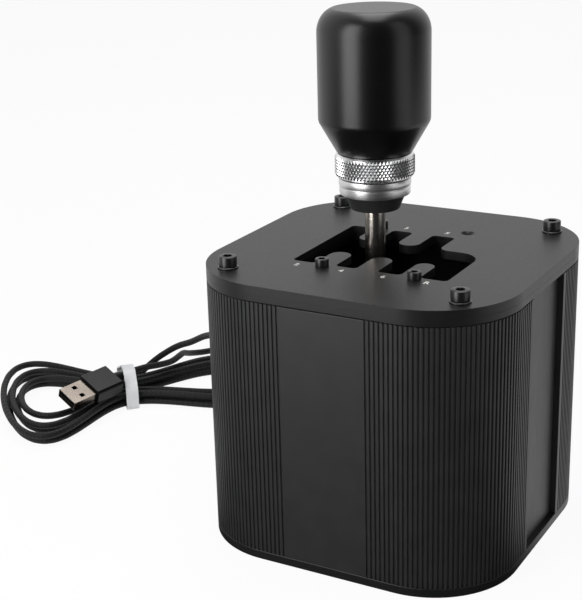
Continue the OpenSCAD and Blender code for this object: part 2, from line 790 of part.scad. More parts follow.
// Lever
module pivot_block() {
    color("#7e8185") at_pivot() difference() {
        union() {
            translate([-block_w / 2, -block_d / 2, -block_down])
                cube([block_w, block_d, block_down + block_up]);
            translate([0, 0, -magnet_low + magnet_h / 2])
                cylinder(d = magnet_d + 3, h = magnet_low - magnet_h / 2 - block_down + 0.1);
        }
        translate([0, 0, pin_d / 2 + 1]) cylinder(d = shaft_d, h = block_up);
        translate([-block_w, 0, 0]) along_x() cylinder(d = pin_d, h = 2 * block_w);
        translate([0, 0, -magnet_low - 1]) cylinder(d = magnet_d, h = magnet_h + 1);
        translate([0, -block_d, block_up - 4]) along_y() cylinder(d = m_corner, h = block_d);
    }
}

module lever_magnet() {
    color("#c4c6c8") at_pivot() translate([0, 0, -magnet_low]) cylinder(d = magnet_d, h = magnet_h);
}

module grub_screw() {
    color("#3a3b3d") at_pivot() translate([0, -block_d / 2 + 0.3, block_up - 4]) along_y() difference() {
        cylinder(d = m_corner, h = block_d / 2 - 0.3 - shaft_d / 2 - 0.02);
        translate([0, 0, -1]) cylinder(d = 2 / cos(30), h = 2.2, $fn = 6);
    }
}

module cross_pin() {
    color("#c9ccd0") at_pivot() difference() {
        translate([-cradle_w / 2 - 3, 0, 0]) along_x()
            cylinder(d = pin_d, h = cradle_w / 2 + 3 + sector_x + sector_t + 0.5);
        translate([-cradle_w / 2 - 1.4, 0, 0]) along_x() difference() {
            cylinder(d = pin_d + 2, h = 0.9);
            translate([0, 0, -1]) cylinder(d = pin_d - 1, h = 3);
        }
    }
}

module pin_clip() {
    color("#6a6c6f") at_pivot() translate([-cradle_w / 2 - 1.35, 0, 0]) along_x() difference() {
        cylinder(d = pin_d + 4, h = 0.8);
        translate([0, 0, -1]) cylinder(d = pin_d - 0.9, h = 3);
        translate([0, -(pin_d - 1.5) / 2, -1]) cube([pin_d + 4, pin_d - 1.5, 3]);
    }
}

module detent_sector() {
    fan = 2 * sector_r * tan(26);
    notch = 0.75 * (notch_depth + 1);
    color("#8f9296") at_pivot() translate([sector_x, 0, 0]) along_x() rotate([0, 0, 180])
        linear_extrude(sector_t) difference() {
            union() {
                circle(d = pin_d + 2 * sector_rim);
                intersection() {
                    circle(sector_r);
                    polygon([[0, 0], [2 * sector_r, -fan], [2 * sector_r, fan]]);
                }
            }
            circle(d = pin_d);
            for (a = [-1, 0, 1]) rotate(a * shift_angle)
                polygon([[sector_r - notch_depth, 0], [sector_r + 1, -notch], [sector_r + 1, notch]]);
        }
}

module lever_shaft() {
    color("#b9b6b0") on_lever() translate([0, 0, pivot_z + pin_d / 2 + 1])
        cylinder(d = shaft_d, h = stud_top - 1 - pivot_z - pin_d / 2 - 1);
}

module shaft_cone() {
    color("#1b1b1c") on_lever() translate([0, 0, cone_z]) difference() {
        cylinder(d1 = cone_low_d, d2 = cone_top_d, h = cone_h);
        translate([0, 0, -1]) cylinder(d = shaft_d, h = cone_h + 2);
    }
}

module shaft_collar() {
    band_d = collar_d - 2 * collar_step;
    color("#c8cacc") on_lever() translate([0, 0, collar_z]) difference() {
        union() {
            cylinder(d1 = band_d - 2 * collar_ease, d2 = band_d, h = collar_ease);
            translate([0, 0, collar_ease]) cylinder(d = band_d, h = collar_band_h - collar_ease);
            translate([0, 0, collar_band_h]) cylinder(d = collar_d, h = collar_h - collar_band_h);
        }
        translate([0, 0, -1]) cylinder(d = shaft_d, h = collar_h + 2);
        translate([0, 0, sleeve_seat]) cylinder(d = stud_d, h = collar_h);
    }
}

module knob_sleeve() {
    color("#3b3c3e") on_lever() translate([0, 0, collar_z + sleeve_seat]) difference() {
        cylinder(d = stud_d, h = stud_top - collar_z - sleeve_seat);
        translate([0, 0, -1]) cylinder(d = shaft_d, h = stud_top - collar_z - sleeve_seat);
    }
}

module lock_ring() {
    bevel = 1.2;
    color("#cfd1d3") on_lever() translate([0, 0, ring_z]) difference() {
        union() {
            cylinder(d1 = ring_d - 2 * bevel, d2 = ring_d, h = bevel);
            translate([0, 0, bevel]) cylinder(d = ring_d, h = ring_h - 2 * bevel);
            translate([0, 0, ring_h - bevel]) cylinder(d1 = ring_d, d2 = ring_d - 2 * bevel, h = bevel);
        }
        translate([0, 0, -1]) cylinder(d = stud_d + 2 * run_fit, h = ring_h + 2);
    }
}

knob_arc = 12;
knob_profile = concat(
    [[0, knob_z + insert_h], [insert_d / 2, knob_z + insert_h], [insert_d / 2, knob_z],
        [knob_foot_d / 2, knob_z], [knob_d / 2 - 0.6, knob_z + knob_taper_h - 1],
        [knob_d / 2, knob_z + knob_taper_h + 1]],
    [for (i = [0 : knob_arc]) let (a = 75 * i / knob_arc)
        [knob_top_d / 2 + (knob_d - knob_top_d) / 2 * (cos(a) - cos(75)) / (1 - cos(75)),
            knob_top - knob_shoulder_h + knob_shoulder_h * sin(a) / sin(75)]],
    [[0, knob_top]]);

module knob() {
    color("#161617") on_lever() rotate_extrude() polygon(knob_profile);
}

module knob_insert() {
    color("#b5a05a") on_lever() translate([0, 0, knob_z]) difference() {
        cylinder(d = insert_d, h = insert_h);
        translate([0, 0, -1]) cylinder(d = stud_d + 2 * run_fit, h = stud_top - knob_z + 1.5);
    }
}

// Electronics
module board_fixings(h, d) {
    for (c = corners) translate([board_x + c.x * board_hole_x, c.y * board_hole_y]) cylinder(d = d, h = h);
}

module sensor_board() {
    color("#1f5a36") translate([rest_x, neutral_y, sensor_z]) difference() {
        translate([-sensor_w / 2, -sensor_l / 2, 0]) cube([sensor_w, sensor_l, sensor_t]);
        for (s = [-1, 1]) translate([0, s * sensor_screw_y, -1])
            cylinder(d = m_board + 2 * screw_fit, h = sensor_t + 2);
    }
}

module hall_sensor() {
    color("#1a1a1b") translate([rest_x - hall_w / 2, neutral_y - hall_w / 2, sensor_z + sensor_t])
        cube([hall_w, hall_w, hall_t]);
}

module sensor_spacers() {
    color("#d8d4c8") translate([rest_x, neutral_y, base_t]) for (s = [-1, 1])
        translate([0, s * sensor_screw_y]) difference() {
            cylinder(d = fixing_d, h = spacer_h);
            translate([0, 0, -1]) cylinder(d = m_board + 2 * screw_fit, h = spacer_h + 2);
        }
}

module sensor_screws() {
    color("#6a6c6f") translate([rest_x, neutral_y, sensor_z + sensor_t]) for (s = [-1, 1])
        translate([0, s * sensor_screw_y]) cap_screw(m_board, sensor_t + spacer_h + 2);
}

module controller_board() {
    color("#1f5a36") difference() {
        translate([board_x - board_w / 2, -board_l / 2, board_z]) cube([board_w, board_l, board_t]);
        translate([0, 0, board_z - 1]) board_fixings(board_t + 2, m_board + 2 * screw_fit);
    }
}

module controller_chip() {
    color("#1a1a1b") translate([chip_at.x - chip_w / 2, chip_at.y - chip_w / 2, board_top])
        cube([chip_w, chip_w, chip_t]);
}

module board_headers() {
    color("#e8e4d8") {
        translate([header_at.x - header_w / 2, header_at.y - header_w / 2, board_top])
            cube([header_w, header_w, header_h]);
        translate([plug_at.x - plug_w / 2, plug_at.y - plug_l / 2, board_top])
            cube([plug_w, plug_l, plug_h]);
    }
}

module board_standoffs() {
    color("#c9b060") translate([0, 0, base_t]) difference() {
        board_fixings(standoff_h, fixing_d);
        translate([0, 0, -1]) board_fixings(standoff_h + 2, m_board + 2 * screw_fit);
    }
}

module board_screws() {
    color("#6a6c6f") translate([0, 0, board_top]) for (c = corners)
        translate([board_x + c.x * board_hole_x, c.y * board_hole_y])
            cap_screw(m_board, board_t + standoff_h + 2);
}

module reset_switch() {
    color("#2a2a2b") translate([switch_at.x, switch_at.y, board_top]) difference() {
        translate([-switch_w / 2, -switch_w / 2, 0]) cube([switch_w, switch_w, switch_h]);
        translate([0, 0, switch_floor]) cylinder(d = button_d + 2 * run_fit, h = switch_h);
    }
}

module reset_button() {
    button_z = board_top + switch_floor + button_travel + button_gap;
    color("#d8d4c8") translate([switch_at.x, switch_at.y, button_z]) cylinder(d = button_d, h = switch_h);
}

// A flat ribbon from the plug's side face down to the top of the sensor board
module sensor_lead() {
    from = [plug_at.x + plug_w / 2, board_top + 1];
    to = [rest_x - sensor_w / 2, sensor_z + sensor_t];
    color("#303030") translate([0, plug_at.y + ribbon_w / 2, 0]) rotate([90, 0, 0]) linear_extrude(ribbon_w)
        polygon([from, from + [2, 0], to + [-3, 0], to + [3, 0],
            to + [3, ribbon_t], to + [-3, ribbon_t], from + [2, ribbon_t], from + [0, ribbon_t]]);
}

module inner_lead() {
    color("#202021") tube(inner_path, inner_cord_d, 8, [0.3, 1, 0]);
}

// Outlet on the left panel
module strain_relief() {
    color("#1b1b1c") translate([-panel_out, 0, gland_z]) rotate([0, -90, 0]) union() {
        translate([0, 0, -panel_t - gland_in]) cylinder(d = gland_d, h = panel_t + gland_in + 0.1);
        cylinder(d = gland_flange_d, h = boot_flange_t);
        translate([0, 0, boot_flange_t]) cylinder(d1 = gland_d, d2 = cord_d + 2 * boot_tip_wall, h = boot_l);
    }
}

module gland_nut() {
    color("#3a3b3d") translate([-panel_in, 0, gland_z]) along_x() difference() {
        cylinder(d = nut_w / cos(30), h = nut_t, $fn = 6);
        translate([0, 0, -1]) cylinder(d = gland_d + 2 * screw_fit, h = nut_t + 2);
    }
}

module cord_lead() {
    color("#141415") tube(lead_path, cord_d, 8);
}

module cord_hank() {
    color("#141415") tube(hank_path, cord_d, 6);
}

module cord_tail() {
    color("#141415") tube(tail_path, cord_d, 8);
}

// Inside of the tie round the strands; its outside is that outline moved out by the strap's thickness
tie_inside = [[tie_left, tie_t], [tie_right, tie_t], [tie_right, tie_right_h], [tie_peak[1], tie_top],
    [tie_peak[0], tie_top], [tie_left, tie_left_h]];
function outward(a, b) = let (d = unit(b - a)) [d.y, -d.x];
function moved_out(p, by) = let (n = len(p)) [for (i = [0 : n - 1])
    let (u = outward(p[(i + n - 1) % n], p[i]), v = outward(p[i], p[(i + 1) % n]))
        p[i] + by * (u + v) / (1 + u * v)];
function rounded_bends(p, cut) = let (n = len(p)) [for (i = [0 : n - 1])
    let (a = p[i] + cut * unit(p[(i + n - 1) % n] - p[i]), b = p[i] + cut * unit(p[(i + 1) % n] - p[i]))
        for (j = [0 : bend_steps]) let (s = j / bend_steps)
            (1 - s) * (1 - s) * a + 2 * s * (1 - s) * p[i] + s * s * b];

module hank_tie() {
    color("#d9dadb") translate([hank_at.x, hank_at.y, 0]) rotate([0, 0, hank_turn])
        translate([-tie_w / 2, 0, 0]) rotate([90, 0, 90]) linear_extrude(tie_w) difference() {
            polygon(rounded_bends(moved_out(tie_inside, tie_t), tie_bend));
            polygon(rounded_bends(tie_inside, tie_bend));
        }
}

module at_plug() {
    translate(hank_place(plug_rear))
        rotate([plug_roll, asin(-unit(plug_dir).z), hank_turn + atan2(plug_dir.y, plug_dir.x)]) children();
}

module usb_grip() {
    color("#161617") at_plug() difference() {
        union() {
            along_x() cylinder(d1 = cord_d + 1.4, d2 = cord_d + 3, h = grip_neck);
            translate([grip_neck, 0, 0]) along_x() slab(grip_t, grip_w, 1.5, grip_l);
        }
        translate([grip_neck + grip_l - usb_hidden, -usb_w / 2, -usb_t / 2])
            cube([usb_hidden + 1, usb_w, usb_t]);
    }
}

module usb_shell() {
    tip = grip_neck + grip_l;
    color("#c9cbcd") at_plug() difference() {
        translate([tip - usb_hidden, -usb_w / 2, -usb_t / 2]) cube([usb_hidden + usb_l, usb_w, usb_t]);
        translate([tip - usb_hidden + 1, -usb_w / 2 + usb_wall, -usb_t / 2 + usb_wall])
            cube([usb_hidden + usb_l, usb_w - 2 * usb_wall, usb_t - 2 * usb_wall]);
        for (s = [-1, 1], z = [-1, 1]) translate([tip + latch_at.x, s * latch_at.y, z * usb_t / 2])
            cube([latch_w, latch_w, 2], center = true);
    }
}

module usb_tongue() {
    color("#1b1b1c") at_plug()
        translate([grip_neck + grip_l - usb_hidden + 1, usb_wall - usb_w / 2, usb_wall - usb_t / 2])
            cube([usb_hidden + usb_l - 1.5, usb_w - 2 * usb_wall, tongue_t]);
}

module usb_contacts() {
    color("#c8a648") at_plug() for (y = [-3.5, -1, 1, 3.5])
        translate([grip_neck + grip_l + 1, y - 0.5, usb_wall + tongue_t - usb_t / 2])
            cube([usb_l - 3, 1, contact_t]);
}

bottom_plate();
front_shell();
rear_shell();
left_panel();
right_panel();
top_frame();
top_plate();
corner_screws();
corner_washers();
base_screws();
gate_screws();
front_bracket();
rear_bracket();
bracket_screws();
bracket_bushes();
centring_spring();
spring_stud();
sensor_board();
hall_sensor();
sensor_spacers();
sensor_screws();
controller_board();
controller_chip();
board_headers();
board_standoffs();
board_screws();
reset_switch();
reset_button();
sensor_lead();
inner_lead();
strain_relief();
gland_nut();
cord_lead();
cord_hank();
cord_tail();
hank_tie();
usb_grip();
usb_shell();
usb_tongue();
usb_contacts();
cradle_frame();
trunnion_pins();
spring_arm();
detent_spring();
detent_screw();
lever_shaft();
pivot_block();
cross_pin();
pin_clip();
grub_screw();
detent_sector();
lever_magnet();
shaft_cone();
shaft_collar();
knob_sleeve();
lock_ring();
knob();
knob_insert();
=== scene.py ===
"""Looks of a gated gear shifter: ribbed case, gate plate, lever with its knob, and a hanked USB lead.

Everything is in metres in the part's own frame: +Z is up and the ribbed front faces -Y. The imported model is
the fixed frame. Pieces that show get finer meshes here, and the works inside keep their solids.
"""

from __future__ import annotations

import json
import logging
import math
from dataclasses import dataclass, field
from enum import Enum
from typing import Callable, Iterable, Sequence

import bpy
from mathutils import Matrix, Vector

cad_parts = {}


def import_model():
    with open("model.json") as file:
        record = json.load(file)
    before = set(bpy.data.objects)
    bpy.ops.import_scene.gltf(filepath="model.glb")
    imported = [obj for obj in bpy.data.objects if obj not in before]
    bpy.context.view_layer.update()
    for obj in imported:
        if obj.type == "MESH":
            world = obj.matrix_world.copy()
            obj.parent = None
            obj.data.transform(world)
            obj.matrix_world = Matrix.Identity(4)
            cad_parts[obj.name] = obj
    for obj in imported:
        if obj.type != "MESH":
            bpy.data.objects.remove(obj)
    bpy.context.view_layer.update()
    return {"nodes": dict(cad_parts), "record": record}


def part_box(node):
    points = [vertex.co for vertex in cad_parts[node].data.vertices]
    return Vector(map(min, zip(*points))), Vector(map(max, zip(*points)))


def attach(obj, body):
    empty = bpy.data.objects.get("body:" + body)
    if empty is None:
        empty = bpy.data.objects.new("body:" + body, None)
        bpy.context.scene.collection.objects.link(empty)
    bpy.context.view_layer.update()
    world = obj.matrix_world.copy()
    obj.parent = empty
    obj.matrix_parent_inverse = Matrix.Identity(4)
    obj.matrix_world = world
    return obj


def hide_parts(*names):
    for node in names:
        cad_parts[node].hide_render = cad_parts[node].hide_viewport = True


LOG = logging.getLogger("shifter")
MM = 0.001
Point = Sequence[float]
Piece = bpy.types.Object
Tree = bpy.types.NodeTree
Socket = bpy.types.NodeSocket

# Points closer than this are one point
MERGE = 0.002 * MM
# Degrees: faces flatter than the first are one face, edges sharper than the second are eased
FLAT, SHARP = 0.3, 35.0


class Body(Enum):
    """Bodies of the frame that pieces ride on."""

    CASE = "case"
    LEVER = "lever"
    KNOB = "knob"
    RING = "lock_ring"


class Lay(Enum):
    """Direction in which a finish has its fine marks, as the stretch of its pattern along X, Y and Z."""

    EVEN = (1.0, 1.0, 1.0)
    LATHE = (0.01, 0.01, 1.0)
    UPRIGHT = (1.0, 1.0, 0.03)
    SIDEWAYS = (0.05, 1.0, 1.0)


def linear(colour: str, gain: float = 1.0) -> tuple[float, float, float, float]:
    """Turns an sRGB hex colour into linear light.

    Args:
        colour: Colour as "#rrggbb".
        gain: Factor on the linear values.

    Returns:
        Red, green, blue and an alpha of 1.
    """
    parts = [int(colour[i:i + 2], 16) / 255 for i in (1, 3, 5)]
    light = [p / 12.92 if p <= 0.04045 else ((p + 0.055) / 1.055) ** 2.4 for p in parts]
    red, green, blue = (min(1.0, gain * v) for v in light)
    return red, green, blue, 1.0


def add_node(
    tree: Tree, kind: str, settings: dict[str, object] | None = None,
    inputs: dict[str | int, object] | None = None,
) -> bpy.types.Node:
    """Adds one shader node with its settings and links.

    Args:
        tree: Node tree that gets the node.
        kind: Type name of the node.
        settings: Properties of the node itself.
        inputs: Values or sockets for its inputs, by name or number.

    Returns:
        The new node.
    """
    node = tree.nodes.new(kind)
    for key, value in (settings or {}).items():
        setattr(node, key, value)
    for key, value in (inputs or {}).items():
        if isinstance(value, Socket):
            tree.links.new(value, node.inputs[key])
        else:
            node.inputs[key].default_value = value
    return node


@dataclass(frozen=True)
class Finish:
    """One surface finish: what it is made of and the fine relief that the eye sees on it.

    Attributes:
        name: Common name of the material and how its surface was made.
        colour: sRGB hex colour.
        metallic: 1 for bare metal.
        roughness: Mean roughness.
        specular: Specular level of a surface that isn't metal.
        grain_mm: Size of the fine marks.
        grain_depth_mm: Depth of the fine marks.
        spread: How far the roughness varies with the marks.
        mottle: How far the colour varies from place to place, as a share.
        mottle_mm: Size of those places.
        lay: Direction of the fine marks.
    """

    name: str
    colour: str
    metallic: float = 0.0
    roughness: float = 0.5
    specular: float = 0.5
    grain_mm: float = 0.4
    grain_depth_mm: float = 0.01
    spread: float = 0.08
    mottle: float = 0.12
    mottle_mm: float = 9.0
    lay: Lay = Lay.EVEN

    def pattern(self, tree: Tree) -> Socket:
        """Adds the fine marks.

        Args:
            tree: Node tree of the material.

        Returns:
            Height of the marks, from 0 to 1.
        """
        place = add_node(tree, "ShaderNodeTexCoord")
        lay = add_node(tree, "ShaderNodeMapping", {}, {
            "Vector": place.outputs["Object"], "Scale": self.lay.value})
        marks = add_node(tree, "ShaderNodeTexNoise", {}, {
            "Vector": lay.outputs["Vector"], "Scale": 1 / (self.grain_mm * MM), "Detail": 3.0,
            "Roughness": 0.6})
        return marks.outputs["Fac"]

    def tint(self, tree: Tree) -> Socket:
        """Adds the slow change of colour from place to place.

        Args:
            tree: Node tree of the material.

        Returns:
            Colour of the surface.
        """
        place = add_node(tree, "ShaderNodeTexCoord")
        cloud = add_node(tree, "ShaderNodeTexNoise", {}, {
            "Vector": place.outputs["Object"], "Scale": 1 / (self.mottle_mm * MM), "Detail": 4.0})
        ramp = add_node(tree, "ShaderNodeValToRGB", {}, {"Fac": cloud.outputs["Fac"]})
        low, high = ramp.color_ramp.elements
        low.position, high.position = 0.3, 0.7
        low.color = linear(self.colour, 1 - self.mottle)
        high.color = linear(self.colour, 1 + self.mottle)
        return ramp.outputs["Color"]

    def material(self) -> bpy.types.Material:
        """Makes the material, or finds it if it is there already.

        Returns:
            Material of this finish.
        """
        found = bpy.data.materials.get(self.name)
        if found:
            return found
        made = bpy.data.materials.new(self.name)
        made.use_nodes = True
        tree = made.node_tree
        tree.nodes.clear()
        marks = self.pattern(tree)
        gloss = add_node(tree, "ShaderNodeMapRange", {}, {
            "Value": marks, "From Min": 0.25, "From Max": 0.75,
            "To Min": max(0.02, self.roughness - self.spread),
            "To Max": min(1.0, self.roughness + self.spread)})
        relief = add_node(tree, "ShaderNodeBump", {}, {
            "Height": marks, "Strength": 1.0, "Distance": self.grain_depth_mm * MM})
        shader = add_node(tree, "ShaderNodeBsdfPrincipled", {}, {
            "Base Color": self.tint(tree), "Roughness": gloss.outputs["Result"],
            "Normal": relief.outputs["Normal"], "Metallic": self.metallic,
            "Specular IOR Level": self.specular})
        add_node(tree, "ShaderNodeOutputMaterial", {}, {"Surface": shader.outputs["BSDF"]})
        return made


@dataclass(frozen=True)
class Braid(Finish):
    """Braided sleeve on the lead: strands that cross each other, set out by the tube's own UV map.

    Attributes:
        strands: Strands of one direction round the lead.
        turns: Turns of one strand along the whole lead.
    """

    strands: int = 6
    turns: int = 420

    def pattern(self, tree: Tree) -> Socket:
        """Adds the crossing strands.

        Args:
            tree: Node tree of the material.

        Returns:
            Height of the strands, from 0 to 1.
        """
        place = add_node(tree, "ShaderNodeTexCoord")
        axes = add_node(tree, "ShaderNodeSeparateXYZ", {}, {"Vector": place.outputs["UV"]})
        along = add_node(tree, "ShaderNodeMath", {"operation": "MULTIPLY"}, {
            0: axes.outputs["X"], 1: math.tau * self.turns})
        around = add_node(tree, "ShaderNodeMath", {"operation": "MULTIPLY"}, {
            0: axes.outputs["Y"], 1: math.tau * self.strands})
        waves = []
        for way in ("ADD", "SUBTRACT"):
            phase = add_node(tree, "ShaderNodeMath", {"operation": way}, {
                0: around.outputs["Value"], 1: along.outputs["Value"]})
            wave = add_node(tree, "ShaderNodeMath", {"operation": "SINE"}, {0: phase.outputs["Value"]})
            waves.append(wave.outputs["Value"])
        cross = add_node(tree, "ShaderNodeMath", {"operation": "MULTIPLY"}, {0: waves[0], 1: waves[1]})
        height = add_node(tree, "ShaderNodeMapRange", {}, {
            "Value": cross.outputs["Value"], "From Min": -1.0, "From Max": 1.0})
        return height.outputs["Result"]


# Finishes by the record's material slots; each comment says what the making gives the eye
FINISHES: dict[str, Finish] = {
    # Anodised aluminium after bead blasting: dull black with a very fine even sparkle
    "case_shell": Finish(
        "black_anodised_extrusion", "#262627", roughness=0.42, specular=0.42, grain_mm=0.25, lay=Lay.UPRIGHT),
    # Powder coat on steel: satin black with a soft fine texture
    "case_plate": Finish(
        "satin_black_powder_coat", "#151516", roughness=0.4, specular=0.46, grain_mm=0.35,
        grain_depth_mm=0.006),
    # Anodised sheet: dark grey, drawn along its length
    "side_panel": Finish(
        "dark_grey_anodised_sheet", "#303031", roughness=0.45, grain_mm=0.3, lay=Lay.UPRIGHT),
    # Black oxide on steel: nearly black with a dull metal gloss
    "black_screw": Finish(
        "black_oxide_steel", "#141415", roughness=0.32, specular=0.6, grain_mm=0.2, mottle=0.25),
    # Zinc plate gone dull: dark metal with a soft gloss
    "washer": Finish("dull_zinc_plate", "#666768", metallic=1.0, roughness=0.36, grain_mm=0.25),
    # Bare metals of the works: fine lines where milled or ground, mottled where sintered
    "bare_aluminium": Finish("milled_aluminium", "#a9acaf", metallic=1.0, roughness=0.38, lay=Lay.SIDEWAYS),
    "steel": Finish("ground_steel", "#a6a7a9", metallic=1.0, roughness=0.28, lay=Lay.LATHE),
    "bronze": Finish("sintered_bronze", "#9a7440", metallic=1.0, roughness=0.45, mottle=0.2),
    "spring_steel": Finish("bright_spring_steel", "#b4b5b7", metallic=1.0, roughness=0.25),
    # Boards and mouldings: mottled solder mask, plain epoxy and plastics
    "board": Finish("green_solder_mask", "#14512c", roughness=0.3, mottle=0.3, mottle_mm=2.5),
    "chip": Finish("moulded_epoxy", "#161617", roughness=0.55),
    "white_plastic": Finish("natural_nylon", "#e8e6de", roughness=0.5),
    "black_plastic": Finish(
        "moulded_abs", "#070708", roughness=0.3, specular=0.22, grain_mm=0.3, grain_depth_mm=0.004),
    # Braided nylon, rubber boot and woven strap of the lead: dull
    "braid": Braid(
        "black_nylon_braid", "#0b0b0c", roughness=0.62, specular=0.32, grain_depth_mm=0.16, mottle_mm=3.0),
    "rubber": Finish("moulded_rubber", "#121213", roughness=0.6, grain_mm=0.5),
    "tie": Finish("white_strap", "#dfe1e3", roughness=0.6, grain_mm=0.6, grain_depth_mm=0.03, mottle=0.05),
    # Plated steel and contacts of the plug: smooth and bright
    "plug_steel": Finish("nickel_plate", "#756d66", metallic=1.0, roughness=0.24, grain_mm=0.3),
    "gold": Finish("gold_plate", "#c79a3e", metallic=1.0, roughness=0.25),
    # Turned parts of the lever: rings left by the lathe, except on the anodised cone and the knurl
    "shaft_steel": Finish(
        "polished_steel_rod", "#d6cec5", metallic=1.0, roughness=0.2, grain_mm=0.4, lay=Lay.LATHE),
    "collar": Finish(
        "turned_silver_aluminium", "#e2e2e3", metallic=1.0, roughness=0.36, grain_mm=0.25, lay=Lay.LATHE),
    "cone": Finish("matt_black_anodised", "#2b2b2c", roughness=0.32, specular=0.65, grain_mm=0.25),
    "ring": Finish("knurled_silver_aluminium", "#ebebec", metallic=1.0, roughness=0.3, grain_mm=0.3),
    # Painted metal: deep black, satin, hardly any relief
    "knob": Finish(
        "satin_black_knob", "#060607", roughness=0.32, grain_mm=0.22, grain_depth_mm=0.004, mottle=0.2),
    "insert": Finish("brass_insert", "#b08a3c", metallic=1.0, roughness=0.3, lay=Lay.LATHE),
}


def clear_selection() -> None:
    """Leaves edit mode and deselects everything."""
    if bpy.context.object and bpy.context.object.mode != "OBJECT":
        bpy.ops.object.mode_set(mode="OBJECT")
    bpy.ops.object.select_all(action="DESELECT")


def pick(piece: Piece) -> None:
    """Makes one piece the only selected and the active one.

    Args:
        piece: Piece to pick.
    """
    clear_selection()
    piece.select_set(True)
    bpy.context.view_layer.objects.active = piece


def settle(piece: Piece, name: str) -> Piece:
    """Names a piece and puts its place, turn and scale into its mesh.

    Args:
        piece: Piece to settle.
        name: Its name.

    Returns:
        The same piece.
    """
    pick(piece)
    bpy.ops.object.transform_apply(location=True, rotation=True, scale=True)
    piece.name = name
    piece.data.name = name
    return piece


def shade(piece: Piece, degrees: float = 32.0) -> Piece:
    """Shades a piece smooth, apart from edges sharper than an angle.

    Args:
        piece: Piece to shade.
        degrees: Largest angle that is shaded smooth.

    Returns:
        The same piece.
    """
    pick(piece)
    bpy.ops.object.shade_smooth_by_angle(angle=math.radians(degrees))
    return piece


def eased(piece: Piece, width: float, segments: int = 2) -> Piece:
    """Rounds the sharp edges of a piece and keeps its flats flat.

    Args:
        piece: Piece to ease.
        width: Width of the rounding.
        segments: Steps of the rounding.

    Returns:
        The same piece.
    """
    shade(piece, degrees=60.0)
    bevel = piece.modifiers.new("ease", "BEVEL")
    bevel.width = width
    bevel.segments = segments
    bevel.limit_method = "ANGLE"
    bevel.angle_limit = math.radians(SHARP)
    bpy.ops.object.modifier_apply(modifier="ease")
    weight = piece.modifiers.new("flats", "WEIGHTED_NORMAL")
    weight.keep_sharp = True
    bpy.ops.object.modifier_apply(modifier="flats")
    return piece


def choose_points(piece: Piece, chosen: Callable[[Vector], bool]) -> None:
    """Opens a piece in edit mode with only some of its points selected.

    Args:
        piece: Piece to open.
        chosen: Says of a point's place whether it is selected.
    """
    pick(piece)
    bpy.context.tool_settings.mesh_select_mode = (True, False, False)
    bpy.ops.object.mode_set(mode="EDIT")
    bpy.ops.mesh.select_all(action="DESELECT")
    bpy.ops.object.mode_set(mode="OBJECT")
    for vertex in piece.data.vertices:
        vertex.select = chosen(vertex.co)
    bpy.ops.object.mode_set(mode="EDIT")


def bench_copy(node: Piece, name: str) -> Piece:
    """Copies a solid of the frame as a mesh of whole faces that can be shaped further.

    Args:
        node: Solid of the frame.
        name: Name of the copy.

    Returns:
        The copy, with its triangles merged into flat faces.
    """
    piece = bpy.data.objects.new(name, node.data.copy())
    bpy.context.scene.collection.objects.link(piece)
    piece.data.name = name
    pick(piece)
    bpy.ops.object.mode_set(mode="EDIT")
    bpy.ops.mesh.select_all(action="SELECT")
    bpy.ops.mesh.remove_doubles(threshold=MERGE)
    bpy.ops.mesh.dissolve_limited(angle_limit=math.radians(FLAT))
    bpy.ops.object.mode_set(mode="OBJECT")
    return piece


def turned(
    name: str, profile: Sequence[tuple[float, float]], axis: Point = (0.0, 0.0), segments: int = 96,
    closed: bool = False,
) -> Piece:
    """Turns a profile about an upright axis, ring by ring.

    Args:
        name: Name of the piece.
        profile: Radius and height of each ring, from the bottom up round the outside.
        axis: Place of the axis.
        segments: Faces round the piece.
        closed: True if the profile goes down the bore again, so that it closes on its first ring.

    Returns:
        The turned piece.
    """
    clear_selection()
    radius, height = profile[0]
    bpy.ops.mesh.primitive_circle_add(vertices=segments, radius=radius, location=(axis[0], axis[1], height))
    piece = bpy.context.object
    bpy.ops.object.mode_set(mode="EDIT")
    bpy.ops.mesh.select_all(action="SELECT")
    if not closed:
        bpy.ops.mesh.edge_face_add()
    for next_radius, next_height in (*profile[1:], *([profile[0]] if closed else [])):
        bpy.ops.mesh.extrude_edges_move(TRANSFORM_OT_translate={"value": (0, 0, next_height - height)})
        ratio = next_radius / radius
        bpy.ops.transform.resize(value=(ratio, ratio, 1), center_override=(axis[0], axis[1], next_height))
        radius, height = next_radius, next_height
    if not closed:
        bpy.ops.mesh.edge_face_add()
    bpy.ops.mesh.select_all(action="SELECT")
    bpy.ops.mesh.remove_doubles(threshold=MERGE / 2)
    bpy.ops.mesh.normals_make_consistent(inside=False)
    bpy.ops.object.mode_set(mode="OBJECT")
    return shade(settle(piece, name))


def arc(centre: Point, radii: Point, start: float, stop: float, steps: int) -> list[tuple[float, float]]:
    """Points on a round stretch of an outline.

    Args:
        centre: Centre of the arc.
        radii: Its two half widths.
        start: First angle in degrees.
        stop: Last angle in degrees.
        steps: Steps between them.

    Returns:
        The points from the first angle to the last.
    """
    angles = [math.radians(start + (stop - start) * i / steps) for i in range(steps + 1)]
    return [(centre[0] + radii[0] * math.cos(a), centre[1] + radii[1] * math.sin(a)) for a in angles]


def cut(piece: Piece, cutter: Piece) -> Piece:
    """Cuts one piece out of another and removes the cutter.

    Args:
        piece: Piece that is cut.
        cutter: Shape that is taken away.

    Returns:
        The cut piece.
    """
    pick(piece)
    work = piece.modifiers.new("cut", "BOOLEAN")
    work.operation = "DIFFERENCE"
    work.solver = "EXACT"
    work.object = cutter
    bpy.ops.object.modifier_apply(modifier="cut")
    bpy.data.objects.remove(cutter)
    return piece


